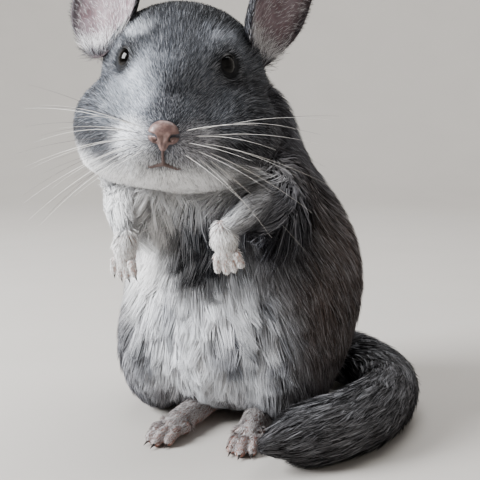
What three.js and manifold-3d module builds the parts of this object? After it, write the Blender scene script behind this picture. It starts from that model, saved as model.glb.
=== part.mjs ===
// A chinchilla sitting up on its haunches with its forepaws off the floor, life size, in millimetres.
// +Z is up and the body faces -Y. The origin is on the floor, in the middle of the flat under the rump.
// Left and right are the animal's own, so the left side is at +X. The head looks a little to its left.
// The plush coat of the body is the outer surface of the solids. Where the coat breaks the outline, at
// the chest, belly, haunches and tail, it stands in flat, tapered locks.

import * as THREE from "three";
import { mergeVertices } from "three/addons/utils/BufferGeometryUtils.js";
import Module from "manifold-3d";

const wasm = await Module();
wasm.setup();

// Driving dimensions
const EYE_LEVEL = 168; // floor to the line of the eyes
const HEAD_AHEAD = 42; // the line of the eyes, ahead of the body's middle
const HEAD_ASIDE = -8; // the head leans to the animal's right
const HEAD_YAW = 17; // degrees, towards the animal's left
const HEAD_ROLL = 4; // degrees, left side down
const TAIL_AXIS_HEIGHT = 12.5;
const TAIL_CORE_RADIUS = 6.5;
const TAIL_COAT_RADIUS = 17;
const EYE_RADIUS = 6.3;
const SEAM = 0.3; // gap between neighbouring pieces
const SOFTNESS = 5; // how softly the forms of the body run into one another

const LEFT = 1;
const RIGHT = -1;
const UP = new THREE.Vector3(0, 0, 1);
const AHEAD = new THREE.Vector3(0, -1, 0);

const vector = (x, y, z) => new THREE.Vector3(x, y, z);
const radians = THREE.MathUtils.degToRad;

// Random numbers from a seed, so that every run builds the same coat
function seeded(seed) {
  let state = seed;
  return () => {
    state = (state * 1664525 + 1013904223) % 4294967296;
    return state / 4294967296;
  };
}

// Turn about Z, then tilt about X, then roll about Y, in degrees
function turned(yaw, tilt = 0, roll = 0) {
  const about = (axis, angle) => new THREE.Quaternion().setFromAxisAngle(axis, radians(angle));
  return about(UP, yaw)
    .multiply(about(vector(1, 0, 0), tilt))
    .multiply(about(vector(0, 1, 0), roll));
}

const HEAD = new THREE.Matrix4().compose(
  vector(HEAD_ASIDE, -HEAD_AHEAD, EYE_LEVEL),
  turned(HEAD_YAW, 0, HEAD_ROLL),
  vector(1, 1, 1),
);

// How far a point is outside an ellipsoid, negative inside, true near its surface
function ellipsoid(centre, radii, tilt = 0, roll = 0, yaw = 0) {
  const inverse = new THREE.Matrix4()
    .compose(vector(...centre), turned(yaw, tilt, roll), vector(1, 1, 1))
    .invert();
  return (point) => {
    const p = point.clone().applyMatrix4(inverse);
    const ratio = Math.hypot(p.x / radii[0], p.y / radii[1], p.z / radii[2]);
    const slope = Math.hypot(p.x / radii[0] ** 2, p.y / radii[1] ** 2, p.z / radii[2] ** 2);
    return (ratio * (ratio - 1)) / Math.max(slope, 1e-6);
  };
}

const mirrored = (centre, radii, tilt = 0, roll = 0, yaw = 0) =>
  [LEFT, RIGHT].map((side) =>
    ellipsoid([centre[0] * side, centre[1], centre[2]], radii, tilt, roll * side, yaw * side),
  );

// The forms run softly into one another
const blend = (forms, softness) => (point) =>
  -softness * Math.log(forms.reduce((sum, form) => sum + Math.exp(-form(point) / softness), 0));

const NAPE = ellipsoid([-5, 2, 136], [36, 35, 33]);

const torsoField = blend(
  [
    ellipsoid([3, 14, 63], [60, 53, 64]), // rump
    ellipsoid([0, -12, 50], [40, 31, 44]), // belly
    ...mirrored([33, -3, 33], [21, 36, 35]), // haunches
    ellipsoid([-1, 14, 84], [44, 42, 48]), // back and ribs
    ellipsoid([-3, 9, 113], [37, 38, 34]), // withers
    ellipsoid([-3, -13, 110], [35, 31, 34]), // chest
    ...mirrored([26, -13, 108], [18, 21, 26]), // shoulders
    NAPE,
  ],
  SOFTNESS,
);

const headForms = [
  ellipsoid([0, 23, -3], [37.5, 35, 32]), // cranium
  ellipsoid([0, -2, -11], [20, 24, 22]), // brow and bridge
  ellipsoid([0, -17, -27], [14.5, 18.5, 14]), // muzzle
  ...mirrored([8.5, -22, -34], [10, 11, 9]), // whisker pads
  ...mirrored([18, -7, -28], [13, 16, 16], 0, 0, 30), // upper jaw
  ...mirrored([25, 7, -28], [21, 26, 21]), // cheeks
  ellipsoid([0, -9, -41], [16, 15, 9]), // chin
  ellipsoid([0, 7, -43], [41, 29, 13]), // ruff
  ...mirrored([17.6, -4, 0], [7.8, 7.8, 7.8]), // mounds round the eyes
];
const headPoint = new THREE.Matrix4().copy(HEAD).invert();
const headField = blend(
  [...headForms.map((form) => (point) => form(point.clone().applyMatrix4(headPoint))), NAPE],
  SOFTNESS * 0.6,
);

// A three.js geometry as a solid
function solid(geometry) {
  geometry.deleteAttribute("normal");
  geometry.deleteAttribute("uv");
  const merged = mergeVertices(geometry, 1e-4);
  return new wasm.Manifold(
    new wasm.Mesh({
      numProp: 3,
      vertProperties: new Float32Array(merged.attributes.position.array),
      triVerts: new Uint32Array(merged.index.array),
    }),
  );
}

// Moves each vertex of a ball to place(angle round it, angle from its first pole), both in radians
function shapedBall(around, along, place) {
  const geometry = new THREE.SphereGeometry(1, around, along);
  const positions = geometry.attributes.position;
  for (let row = 0; row <= along; row += 1) {
    for (let column = 0; column <= around; column += 1) {
      const pole = row === 0 || row === along;
      const round = pole ? 0 : ((column % around) / around) * 2 * Math.PI;
      const p = place(round, (row / along) * Math.PI, row);
      positions.setXYZ(row * (around + 1) + column, p.x, p.y, p.z);
    }
  }
  return solid(geometry);
}

// How far out from a centre, in a direction, the field first reaches a level
function reach(field, centre, direction, level) {
  const STEP = 2;
  let far = STEP;
  while (field(centre.clone().addScaledVector(direction, far)) < level) far += STEP;
  let near = far - STEP;
  for (let halving = 0; halving < 16; halving += 1) {
    const middle = (near + far) / 2;
    if (field(centre.clone().addScaledVector(direction, middle)) < level) near = middle;
    else far = middle;
  }
  return far;
}

// The solid inside a field, seen from a centre. Its rings gather towards the pole.
function swell(field, { centre, pole, around, along, gather = 0, level = 0 }) {
  const turn = new THREE.Quaternion().setFromUnitVectors(vector(0, 1, 0), pole);
  return shapedBall(around, along, (round, polar) => {
    const eased = polar - gather * Math.sin(polar);
    const direction = vector(
      -Math.cos(round) * Math.sin(eased),
      Math.cos(eased),
      Math.sin(round) * Math.sin(eased),
    ).applyQuaternion(turn);
    return centre.clone().addScaledVector(direction, reach(field, centre, direction, level));
  });
}

// The way out of a field's surface at a point
function outward(field, point) {
  const STEP = 0.5;
  const slope = (axis) =>
    field(point.clone().addScaledVector(axis, STEP)) -
    field(point.clone().addScaledVector(axis, -STEP));
  return vector(slope(vector(1, 0, 0)), slope(vector(0, 1, 0)), slope(UP)).normalize();
}

// A closed sleeve through stations, which give its middle, its way out, and its half width and depth
function sleeve(stations, sides) {
  const last = stations.length - 1;
  return shapedBall(sides, last, (round, polar, row) => {
    const here = stations[row];
    if (row === 0 || row === last) return here.at;
    const along = stations[row + 1].at.clone().sub(stations[row - 1].at).normalize();
    const across = here.out.clone().cross(along).normalize();
    const out = along.clone().cross(across);
    return here.at
      .clone()
      .addScaledVector(across, -Math.cos(round) * here.wide)
      .addScaledVector(out, Math.sin(round) * here.deep);
  });
}

// A value between those of a list, at a share of its length
function between(values, share) {
  const place = share * (values.length - 1);
  const low = Math.min(Math.floor(place), values.length - 2);
  return values[low] + (values[low + 1] - values[low]) * (place - low);
}

// A rounded limb along a curve through points, with its half widths at them
function limb(points, widths, { out = AHEAD, depth = 1, sides = 8, steps = 8 } = {}) {
  const curve = new THREE.CatmullRomCurve3(points.map((p) => vector(...p)));
  const stations = [];
  for (let step = 0; step <= steps; step += 1) {
    const share = (1 - Math.cos((step / steps) * Math.PI)) / 2;
    const rounded = Math.sqrt(1 - (Math.abs(2 * share - 1)) ** 6);
    const wide = between(widths, share) * rounded;
    stations.push({ at: curve.getPoint(share), out, wide, deep: wide * depth });
  }
  return sleeve(stations, sides);
}

const ball = (centre, radii, around = 12, along = 8, turn = new THREE.Quaternion()) =>
  solid(
    new THREE.SphereGeometry(1, around, along).applyMatrix4(
      new THREE.Matrix4().compose(vector(...centre), turn, vector(...radii)),
    ),
  );

const moved = (made, matrix) => made.transform(matrix.elements);
const union = (pieces) => wasm.Manifold.union(pieces);

// The largest closed surface of a solid, so that no loose scrap stays
function largest(made) {
  const bodies = made.decompose();
  return bodies.reduce((best, body) => (body.volume() > best.volume() ? body : best));
}

// Half of space on the far side of a plane, as a large block
function halfSpace(point, normal) {
  const SIZE = 600;
  const block = new THREE.BoxGeometry(SIZE, SIZE, SIZE).translate(0, SIZE / 2, 0);
  block.applyQuaternion(new THREE.Quaternion().setFromUnitVectors(vector(0, 1, 0), normal));
  block.translate(point.x, point.y, point.z);
  return solid(block);
}

// A flat, tapered lock of the coat that lies along a surface and lifts towards its tip
function coatLock(field, root, lie, { length, wide, deep, lift, grow, sides = 4 }) {
  const STEPS = 4;
  const SUNK = 3;
  const shares = [0, 0.3, 0.8, 1];
  const widths = [0.8, 1, 0.62];
  const stations = [];
  const spot = root.clone();
  let travelled = 0;
  for (let step = 0; step < STEPS; step += 1) {
    const ahead = shares[step] * length - travelled;
    travelled += ahead;
    const out = outward(field, spot);
    const way = lie(spot).addScaledVector(out, -lie(spot).dot(out)).normalize();
    spot.addScaledVector(way, ahead);
    spot.addScaledVector(out, -field(spot));
    const here = outward(field, spot);
    const height = step === 0 ? -SUNK : lift * shares[step] - deep * 0.35 * (1 - shares[step]);
    const wideHere = step === STEPS - 1 ? 0 : wide * widths[step] + grow;
    stations.push({
      at: spot.clone().addScaledVector(here, height),
      out: here,
      wide: wideHere,
      deep: deep * (1 - 0.6 * shares[step]) + grow,
    });
  }
  return sleeve(stations, sides);
}

const TORSO_CENTRE = vector(-1, 0, 78);
const HEAD_CENTRE = vector(0, 8, -14).applyMatrix4(HEAD);

const bodyShape = (level) =>
  swell(torsoField, { centre: TORSO_CENTRE, pole: UP, around: 32, along: 24, level });
const headShape = (level) =>
  swell(headField, {
    centre: HEAD_CENTRE,
    pole: AHEAD.clone().transformDirection(HEAD),
    around: 32,
    along: 24,
    gather: 0.45,
    level,
  });

// Where the forelegs and feet come out of the body, the coat lies flat
const BARE_SPOTS = [
  [vector(-30, -50, 98), 22],
  [vector(24, -52, 104), 22],
  [vector(-8, -38, 6), 16],
  [vector(22, -38, 6), 16],
  [vector(18, 60, 18), 26],
];
const clearOfLimbs = (spot) => BARE_SPOTS.every(([middle, far]) => spot.distanceTo(middle) > far);

// Locks of the chest, belly and haunches, in rows that follow the coat down and back
function bodyLocks(grow) {
  const random = seeded(11);
  const locks = [];
  const LOWEST = -54; // degrees of latitude, seen from the torso's middle
  const HIGHEST = 41;
  const ROW_STEP = 19;
  const HEM = -30; // below this, locks stand all round
  const FRONT = 72; // degrees to each side of straight ahead
  const GIRTH = 58 * 2 * Math.PI;
  const SPACING = 28;
  for (let row = 0, latitude = LOWEST; latitude <= HIGHEST; row += 1, latitude += ROW_STEP) {
    const count = Math.round((Math.cos(radians(latitude)) * GIRTH) / SPACING);
    for (let column = 0; column < count; column += 1) {
      const bearing = ((column + (row % 2) / 2 + 0.3 * (random() - 0.5)) / count) * 360 - 180;
      const upturn = latitude + 4 * (random() - 0.5);
      const faded = Math.abs(bearing) > 50 ? 0.8 : 1;
      const size = (0.9 + 0.3 * random()) * faded;
      if (Math.abs(bearing) > FRONT && latitude > HEM) continue;
      const direction = vector(
        Math.sin(radians(bearing)) * Math.cos(radians(upturn)),
        -Math.cos(radians(bearing)) * Math.cos(radians(upturn)),
        Math.sin(radians(upturn)),
      );
      const far = reach(torsoField, TORSO_CENTRE, direction, 0);
      const root = TORSO_CENTRE.clone().addScaledVector(direction, far);
      if (!clearOfLimbs(root) || root.z < 14) continue;
      const aside = vector(Math.sin(radians(bearing)) * 0.35, 0.25, -1).normalize();
      locks.push(
        coatLock(torsoField, root, () => aside.clone(), {
          length: 30 * size + grow,
          grow,
          wide: 11.5 * size,
          deep: 2.3 * faded,
          lift: 2 * faded,
        }),
      );
    }
  }
  return locks;
}

// The ruff of pale fur under the cheeks and chin
function ruffLocks(grow) {
  const random = seeded(23);
  const COUNT = 9;
  const EAR_TO_EAR = 100; // degrees to each side of the chin
  const locks = [];
  for (let index = 0; index < COUNT; index += 1) {
    const bearing = EAR_TO_EAR * ((2 * index) / (COUNT - 1) - 1);
    const direction = vector(
      Math.sin(radians(bearing)),
      -Math.cos(radians(bearing)),
      -0.52 + 0.25 * (Math.abs(bearing) / EAR_TO_EAR),
    )
      .normalize()
      .transformDirection(HEAD);
    const far = reach(headField, HEAD_CENTRE, direction, 0);
    const root = HEAD_CENTRE.clone().addScaledVector(direction, far);
    const lie = vector(direction.x * 0.5, 0.35, -1);
    locks.push(
      coatLock(headField, root, () => lie.clone(), {
        length: 19 + 4 * random() + grow,
        grow,
        wide: 8.5,
        deep: 2.6,
        lift: 2.2,
      }),
    );
  }
  return locks;
}

// Planes that part the head from the neck, and the neck from the torso
const NAPE_CUT = { point: vector(HEAD_ASIDE, -46, 115), normal: vector(0, -0.793, 0.609) };
const CHEST_CUT = { point: vector(0, -50, 94), normal: vector(0, -0.625, 0.781) };
const FLOOR_CUT = { point: vector(0, 0, 0), normal: vector(0, 0, 1) };

const beyond = (cut, shift) =>
  halfSpace(cut.point.clone().addScaledVector(cut.normal, shift), cut.normal);
const before = (cut, shift) =>
  halfSpace(cut.point.clone().addScaledVector(cut.normal, shift), cut.normal.clone().negate());

const haunchRegion = (side, grow) =>
  ball([side * 47, -6, 31], [26 + grow, 37 + grow, 36 + grow], 28, 18);

// The eyes, each with its lids as a rim round the opening
const eyeCentre = (side) => vector(side * 18.8, -5, 0);
const eyeWay = (side) => vector(side * 0.8, -0.58, 0.14).normalize();

function eyelid(side) {
  const OPENING = 5.9;
  const RIM = 1.4;
  const OUT = 2.6;
  const turn = new THREE.Quaternion().setFromUnitVectors(UP, eyeWay(side));
  const rim = new THREE.TorusGeometry(OPENING, RIM, 4, 16).applyQuaternion(turn);
  const at = eyeCentre(side).addScaledVector(eyeWay(side), OUT);
  return solid(rim.translate(at.x, at.y, at.z));
}

const NOSE_TIP = vector(0, -36.5, -29);

function nosePad() {
  const at = NOSE_TIP.toArray();
  return union([
    ball([0, at[1] + 3.2, at[2] + 1], [6, 4.2, 4.6], 12, 8),
    ...[LEFT, RIGHT].map((side) =>
      ball([side * 3.4, at[1] + 3, at[2] - 0.6], [2.9, 3.8, 3.2], 8, 6),
    ),
  ]);
}

// Comma-shaped nostrils, the cleft below the nose and the line of the mouth, as cutters
function nostril(side) {
  const lean = new THREE.Quaternion().setFromAxisAngle(AHEAD, radians(-32 * side));
  return ball([side * 3.5, NOSE_TIP.y + 0.4, NOSE_TIP.z - 1], [0.9, 2.6, 1.9], 8, 6, lean);
}

function cleft() {
  const spots = [
    [0, -35.2, -31.5],
    [0, -35.4, -34.5],
    [0, -33.8, -38],
    [0, -30.8, -41],
  ];
  return limb(spots, [0.8, 0.7, 0.7, 0.9], { depth: 2, sides: 6, steps: 6 });
}

function mouthLine() {
  const spots = [
    [-11, -21, -41.6],
    [-6.5, -27.3, -42.6],
    [0, -29.8, -41.2],
    [6.5, -27.3, -42.6],
    [11, -21, -41.6],
  ];
  return limb(spots, [0.5, 0.8, 1, 0.8, 0.5], { out: UP, depth: 0.7, sides: 6, steps: 10 });
}

function lowerLip() {
  return ball([0, -23, -44], [6.5, 5.5, 3.6], 10, 6);
}

// Where the coat round an eye is open, so that the eyeball shows
function eyeOpening(side) {
  const RADIUS = 5;
  const OUT = 4.8;
  const at = eyeCentre(side).addScaledVector(eyeWay(side), OUT);
  return ball(at.toArray(), [RADIUS, RADIUS, RADIUS], 16, 10);
}

// The whole body and head as one solid, which thin cuts then part
const coated = (grow) =>
  union([bodyShape(grow), ...bodyLocks(grow), headShape(grow), ...ruffLocks(grow)]);
const wholeBody = coated(0);
const bodyAbove = wholeBody.intersect(beyond(FLOOR_CUT, 0));

function headSolid() {
  const features = union([nosePad(), lowerLip(), eyelid(LEFT), eyelid(RIGHT)]);
  const sockets = [LEFT, RIGHT].map((side) => {
    const radius = EYE_RADIUS + SEAM;
    return ball(eyeCentre(side).toArray(), [radius, radius, radius], 16, 10);
  });
  const openings = [eyeOpening(LEFT), eyeOpening(RIGHT)];
  const face = [nostril(LEFT), nostril(RIGHT), cleft(), mouthLine()];
  const hollows = union([...face, ...sockets, ...openings]);
  return largest(
    bodyAbove
      .intersect(beyond(NAPE_CUT, SEAM / 2))
      .add(moved(features, HEAD))
      .subtract(moved(hollows, HEAD)),
  );
}

// A broad round ear, cupped, with its rim curling forward and its foot sunk in the fur
const EAR = { half: 28, halfWide: 21.5, cup: 8.5, thick: 0.85 };
const EAR_PLACES = {
  [RIGHT]: [vector(-37.5, 22, 25.5), turned(-38, -13, -17)],
  [LEFT]: [vector(42, 23, 27.5), turned(58, 15, 18)], // turned and leant further out
};

function earSolid(side) {
  const leaf = shapedBall(20, 12, (round, polar) => {
    const behind = polar < Math.PI / 2;
    const outAlong = behind ? polar / (Math.PI / 2) : 2 - polar / (Math.PI / 2);
    const across = -Math.cos(round) * outAlong;
    const up = Math.sin(round) * outAlong;
    const narrow = up < 0 ? 1 - 0.42 * up * up : 1 - 0.08 * up * up;
    const thick = EAR.thick * Math.sqrt(1 - outAlong ** 6) + 0.25 * (1 - outAlong ** 6);
    const hollow = EAR.cup * (1 - outAlong ** 2.4) - 3 * up * up;
    return vector(
      across * narrow * EAR.halfWide,
      hollow + (behind ? thick : -thick),
      up * EAR.half,
    );
  });
  const placed = new THREE.Matrix4().compose(...EAR_PLACES[side], vector(1, 1, 1));
  return moved(leaf, new THREE.Matrix4().multiplyMatrices(HEAD, placed));
}

// Digits with their claws, which start inside the paw
function digit(points, width, clawLength) {
  const tip = vector(...points[points.length - 1]);
  const knuckle = vector(...points[points.length - 2]);
  const way = tip.clone().sub(knuckle).normalize();
  const claw = new THREE.ConeGeometry(width * 0.42, clawLength * 2, 5);
  claw.applyQuaternion(new THREE.Quaternion().setFromUnitVectors(vector(0, 1, 0), way));
  claw.translate(...tip.clone().addScaledVector(way, clawLength * 0.25).toArray());
  return [limb(points, [width, width, width * 0.92], { out: UP, sides: 5, steps: 4 }), solid(claw)];
}

// A forepaw that hangs from the wrist, in a frame with its fingers down and its back to -Y
const palm = (grow) =>
  limb([[0, 0.5, 5.5], [0, 0, 0], [0, -0.5, -8]], [4.9 + grow, 5.6 + grow, 4.9 + grow], {
    depth: 0.8,
    steps: 6,
  });

function forepaw() {
  const pieces = [palm(0)];
  const FINGERS = 4;
  for (let finger = 0; finger < FINGERS; finger += 1) {
    const aside = (finger - (FINGERS - 1) / 2) * 2.7;
    const drop = 13.2 - Math.abs(finger - 1.4) * 1.3;
    const knuckle = [aside, -2.2, -drop + 4.5];
    const end = [aside * 1.25, -2.6, -drop];
    pieces.push(...digit([[aside * 0.7, -0.6, -5], knuckle, end], 1.8, 2));
  }
  return union(pieces);
}

// Shoulder, elbow and wrist of each foreleg. The left one is tucked up higher, against the chest.
const FORELEGS = {
  [RIGHT]: {
    arm: [[-27, -22, 114], [-35, -38, 108], [-31.5, -51, 102], [-26, -58.5, 95]],
    paw: [vector(-25.5, -60, 90), turned(-6, 8, 4)],
  },
  [LEFT]: {
    arm: [[26, -22, 115], [32, -38, 108.5], [27.5, -49, 104], [20.5, -55, 99.5]],
    paw: [vector(19, -57, 94.5), turned(10, 10, -12)],
  },
};

function forelegSolids(side, skin) {
  const { arm, paw } = FORELEGS[side];
  const atWrist = new THREE.Matrix4().compose(paw[0], paw[1], vector(1, 1, 1));
  const leg = limb(arm, [12, 11.5, 8, 5.4], { out: UP, sides: 10, steps: 9 });
  return {
    leg: largest(leg.subtract(skin).subtract(moved(palm(SEAM), atWrist))),
    paw: largest(moved(forepaw(), atWrist).subtract(skin)),
  };
}

// A long hind foot, flat on the floor, with three large toes and a small inner one
function hindFoot() {
  const SOLE = 3.8;
  const pieces = [
    limb([[0, 14, 6.5], [0, -4, 5.6], [0, -18, 4.8], [0, -27, 4]], [6, 7, 6.6, 5], {
      out: UP,
      depth: 0.76,
      sides: 8,
      steps: 6,
    }),
  ];
  const toes = [
    [-6.6, 21, 31, 1.7],
    [-3.8, 24, 38, 2.3],
    [0.6, 24, 40.5, 2.5],
    [4.9, 23, 37.5, 2.3],
  ];
  for (const [aside, from, to, width] of toes) {
    pieces.push(
      ...digit(
        [[aside * 0.75, -from, SOLE - 0.6], [aside, -(from + to) / 2 - 2, SOLE], [aside * 1.08, -to, 2.2]],
        width,
        2.2,
      ),
    );
  }
  return union(pieces);
}

const FEET = {
  [RIGHT]: new THREE.Matrix4().compose(vector(-8, -20, 0), turned(-7), vector(1, 1, 1)),
  [LEFT]: new THREE.Matrix4().compose(vector(22, -19, 0), turned(8), vector(-1, 1, 1)),
};

// The tail leaves the rump low down and lies round the animal's left side
const TAIL_WAY = new THREE.CatmullRomCurve3([
  vector(12, 46, 22),
  vector(44, 60, 15),
  vector(70, 36, TAIL_AXIS_HEIGHT),
  vector(77, 0, TAIL_AXIS_HEIGHT),
  vector(71, -32, TAIL_AXIS_HEIGHT),
  vector(55, -56, TAIL_AXIS_HEIGHT),
]);

// A point on the tail's axis, which runs on straight past its end
function onTail(share) {
  const inside = Math.min(share, 1);
  const tangent = TAIL_WAY.getTangentAt(inside);
  const at = TAIL_WAY.getPointAt(inside);
  return { at: at.addScaledVector(tangent, (share - inside) * TAIL_WAY.getLength()), tangent };
}

function tailWhole() {
  const random = seeded(37);
  const length = TAIL_WAY.getLength();
  const STEPS = 12;
  const core = [];
  for (let step = 0; step <= STEPS; step += 1) {
    const share = step / STEPS;
    const { at } = onTail(share);
    const taper = Math.sqrt(Math.max(0, 1 - Math.abs(2 * share - 1) ** 8));
    const wide = TAIL_CORE_RADIUS * (1.35 - 0.45 * share) * taper;
    core.push({ at, out: UP, wide, deep: wide });
  }
  const pieces = [sleeve(core, 8)];
  const ROWS = 7;
  const AROUND = 5;
  const SHARES = [0, 0.35, 0.8, 1];
  const WIDTHS = [0, 7.6, 5.6, 0];
  const foot = TAIL_CORE_RADIUS * 0.45; // where a lock starts, inside the core
  for (let row = 0; row < ROWS; row += 1) {
    const start = 0.06 + (0.92 * row) / (ROWS - 1);
    for (let index = 0; index < AROUND; index += 1) {
      const round = ((index + (row % 2) / 2 + 0.3 * (random() - 0.5)) / AROUND) * 2 * Math.PI;
      const long = (43 + 8 * random()) / length;
      const high = (TAIL_COAT_RADIUS - 2.5) * (0.72 + 0.3 * random()) * (row === ROWS - 1 ? 0.6 : 1);
      const stations = SHARES.map((share, step) => {
        const { at, tangent } = onTail(start + long * share);
        const aside = tangent.clone().cross(UP).normalize();
        const over = aside.clone().cross(tangent);
        const out = aside
          .multiplyScalar(Math.cos(round))
          .addScaledVector(over, Math.sin(round))
          .normalize();
        const rise = foot + (high - foot) * Math.sqrt(share);
        const room = out.z < -0.05 ? (at.z + 0.8) / -out.z : Infinity; // down to the floor
        const middle = at.addScaledVector(out, Math.min(rise, room));
        return { at: middle, out, wide: WIDTHS[step], deep: 1.9 };
      });
      pieces.push(sleeve(stations, 4));
    }
  }
  return union(pieces).intersect(beyond(FLOOR_CUT, 0));
}

// Parts the tail into three lengths with slabs as thin as the seam
function tailSolids(skin) {
  const whole = largest(tailWhole().subtract(skin));
  const cuts = [0.36, 0.7].map((share) => {
    const { at, tangent } = onTail(share);
    return { point: at, normal: tangent };
  });
  const near = whole.intersect(before(cuts[0], -SEAM / 2)).intersect(before(cuts[1], -SEAM / 2));
  const rest = whole.subtract(before(cuts[0], SEAM / 2));
  return {
    tail_root: largest(near),
    tail_middle: largest(rest.intersect(before(cuts[1], -SEAM / 2))),
    tail_tip: largest(rest.intersect(beyond(cuts[1], SEAM / 2))),
  };
}

// Colours and finishes
const finish = (color, roughness) => new THREE.MeshStandardMaterial({ color, roughness, metalness: 0 });
const FUR_GREY = finish(0x6f6e70, 0.95);
const FUR_SILVER = finish(0x8d8d90, 0.95);
const FUR_PALE = finish(0xc9c6c2, 0.95);
const FUR_TAIL = finish(0x4a494b, 0.95);
const EAR_SKIN = finish(0xa98a84, 0.8);
const EYE_BLACK = finish(0x0b0a0c, 0.08);

const chinchilla = new THREE.Group();

function add(name, made, material) {
  const { numProp, vertProperties, triVerts } = made.getMesh();
  const positions = new Float32Array((vertProperties.length / numProp) * 3);
  for (let i = 0; i < positions.length / 3; i += 1)
    positions.set(vertProperties.subarray(i * numProp, i * numProp + 3), i * 3);
  const geometry = new THREE.BufferGeometry()
    .setAttribute("position", new THREE.BufferAttribute(positions, 3))
    .setIndex(new THREE.BufferAttribute(new Uint32Array(triVerts), 1));
  geometry.computeVertexNormals();
  const mesh = new THREE.Mesh(geometry, material);
  mesh.name = name;
  chinchilla.add(mesh);
}

const grownBody = coated(SEAM);
const NAMES = { [LEFT]: "left", [RIGHT]: "right" };

add("head", headSolid(), FUR_SILVER);
add(
  "neck",
  largest(bodyAbove.intersect(before(NAPE_CUT, -SEAM / 2)).intersect(beyond(CHEST_CUT, SEAM / 2))),
  FUR_PALE,
);

const trunk = bodyAbove.intersect(before(CHEST_CUT, -SEAM / 2));

add(
  "torso",
  largest(trunk.subtract(haunchRegion(LEFT, SEAM)).subtract(haunchRegion(RIGHT, SEAM))),
  FUR_PALE,
);

for (const side of [LEFT, RIGHT]) {
  const name = NAMES[side];
  add(`haunch_${name}`, largest(trunk.intersect(haunchRegion(side, 0))), FUR_GREY);
  const foot = moved(hindFoot(), FEET[side]);
  add(
    `hind_foot_${name}`,
    largest(foot.intersect(beyond(FLOOR_CUT, 0)).subtract(grownBody)),
    FUR_PALE,
  );
  const { leg, paw } = forelegSolids(side, grownBody);
  add(`foreleg_${name}`, leg, FUR_PALE);
  add(`forepaw_${name}`, paw, FUR_PALE);
  add(`ear_${name}`, largest(earSolid(side).subtract(grownBody)), EAR_SKIN);
  const eye = ball(eyeCentre(side).toArray(), [EYE_RADIUS, EYE_RADIUS, EYE_RADIUS], 16, 10);
  add(`eye_${name}`, moved(eye, HEAD), EYE_BLACK);
}

for (const [name, made] of Object.entries(tailSolids(grownBody))) add(name, made, FUR_TAIL);

export default chinchilla;
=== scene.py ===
# %% [markdown]
# # A chinchilla, sitting up
#
# This lesson dresses a life-size chinchilla for a museum case. The solids from the
# drawing office give its outline, out to the tips of the coat. Here one smooth skin is
# grown a little inside that outline, and a coat of about a quarter of a million small tufts
# fills the room between them, so that the fur's own tips draw the edge of the animal.
# Lengths are in millimetres until a mesh is made, because the solids were drawn so.

import math

import bmesh
import bpy
import numpy as np
from mathutils import Matrix, Vector
from mathutils.kdtree import KDTree


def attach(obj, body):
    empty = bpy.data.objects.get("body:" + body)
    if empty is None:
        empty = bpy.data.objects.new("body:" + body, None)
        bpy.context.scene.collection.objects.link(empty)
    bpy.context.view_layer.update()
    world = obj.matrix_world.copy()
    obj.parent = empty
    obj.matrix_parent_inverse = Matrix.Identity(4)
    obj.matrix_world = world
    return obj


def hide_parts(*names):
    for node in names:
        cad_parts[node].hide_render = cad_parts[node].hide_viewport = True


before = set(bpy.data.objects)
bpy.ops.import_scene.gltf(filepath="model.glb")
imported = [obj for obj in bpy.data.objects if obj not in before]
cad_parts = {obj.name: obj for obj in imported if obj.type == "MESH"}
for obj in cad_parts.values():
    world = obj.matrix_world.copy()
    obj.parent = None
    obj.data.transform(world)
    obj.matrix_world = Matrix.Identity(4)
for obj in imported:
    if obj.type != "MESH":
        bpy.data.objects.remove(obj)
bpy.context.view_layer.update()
MM = 0.001
LEFT, RIGHT = 1, -1
NAMES = {LEFT: "left", RIGHT: "right"}

# %% [markdown]
# ## The forms of the body
#
# A furry animal is soft all over, so it is easier to say where its surface is with a rule
# than with a cage of points. Each form is an egg that tells how far a point lies outside
# it, and a blend lets the eggs run into one another as flesh does. The same eggs shaped
# the solids, so skin and solids agree without any fitting.

# %% Eggs and blends
EYE_LEVEL, HEAD_AHEAD, HEAD_ASIDE = 168, 42, -8
HEAD_YAW, HEAD_ROLL = 17, 4  # degrees
SOFTNESS, HEAD_SOFTNESS, JOIN_SOFTNESS = 5, 3.0, 2.0  # how gently forms run together


def turned(yaw, tilt=0, roll=0):
    turns = zip((yaw, tilt, roll), "ZXY")
    made = Matrix.Identity(3)
    for angle, axis in turns:
        made = made @ Matrix.Rotation(math.radians(angle), 3, axis)
    return np.array(made)


def egg(centre, radii, tilt=0, roll=0, yaw=0):
    """How far points are outside an egg, true near its surface."""
    axes, radii = turned(yaw, tilt, roll), np.array(radii, float)

    def outside(points):
        local = (points - centre) @ axes
        ratio = np.linalg.norm(local / radii, axis=1)
        slope = np.linalg.norm(local / radii**2, axis=1)
        return ratio * (ratio - 1) / np.maximum(slope, 1e-6)

    return outside


def both(centre, radii, tilt=0, roll=0, yaw=0):
    x, y, z = centre
    return [egg((x * s, y, z), radii, tilt, roll * s, yaw * s) for s in (LEFT, RIGHT)]


def blend(forms, softness):
    """One soft form from several."""

    def outside(points):
        total = sum(np.exp(-form(points) / softness) for form in forms)
        return -softness * np.log(total)

    return outside


HEAD_TURN = turned(HEAD_YAW, 0, HEAD_ROLL)
HEAD_AT = np.array((HEAD_ASIDE, -HEAD_AHEAD, EYE_LEVEL), float)


def on_head(points):
    """Points of the body's frame, as the head sees them: its origin is midway between the eyes."""
    return (points - HEAD_AT) @ HEAD_TURN


def off_head(points):
    return np.atleast_2d(points) @ HEAD_TURN.T + HEAD_AT


print("the nose is at", off_head((0, -36.5, -29)).round(1))

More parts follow.
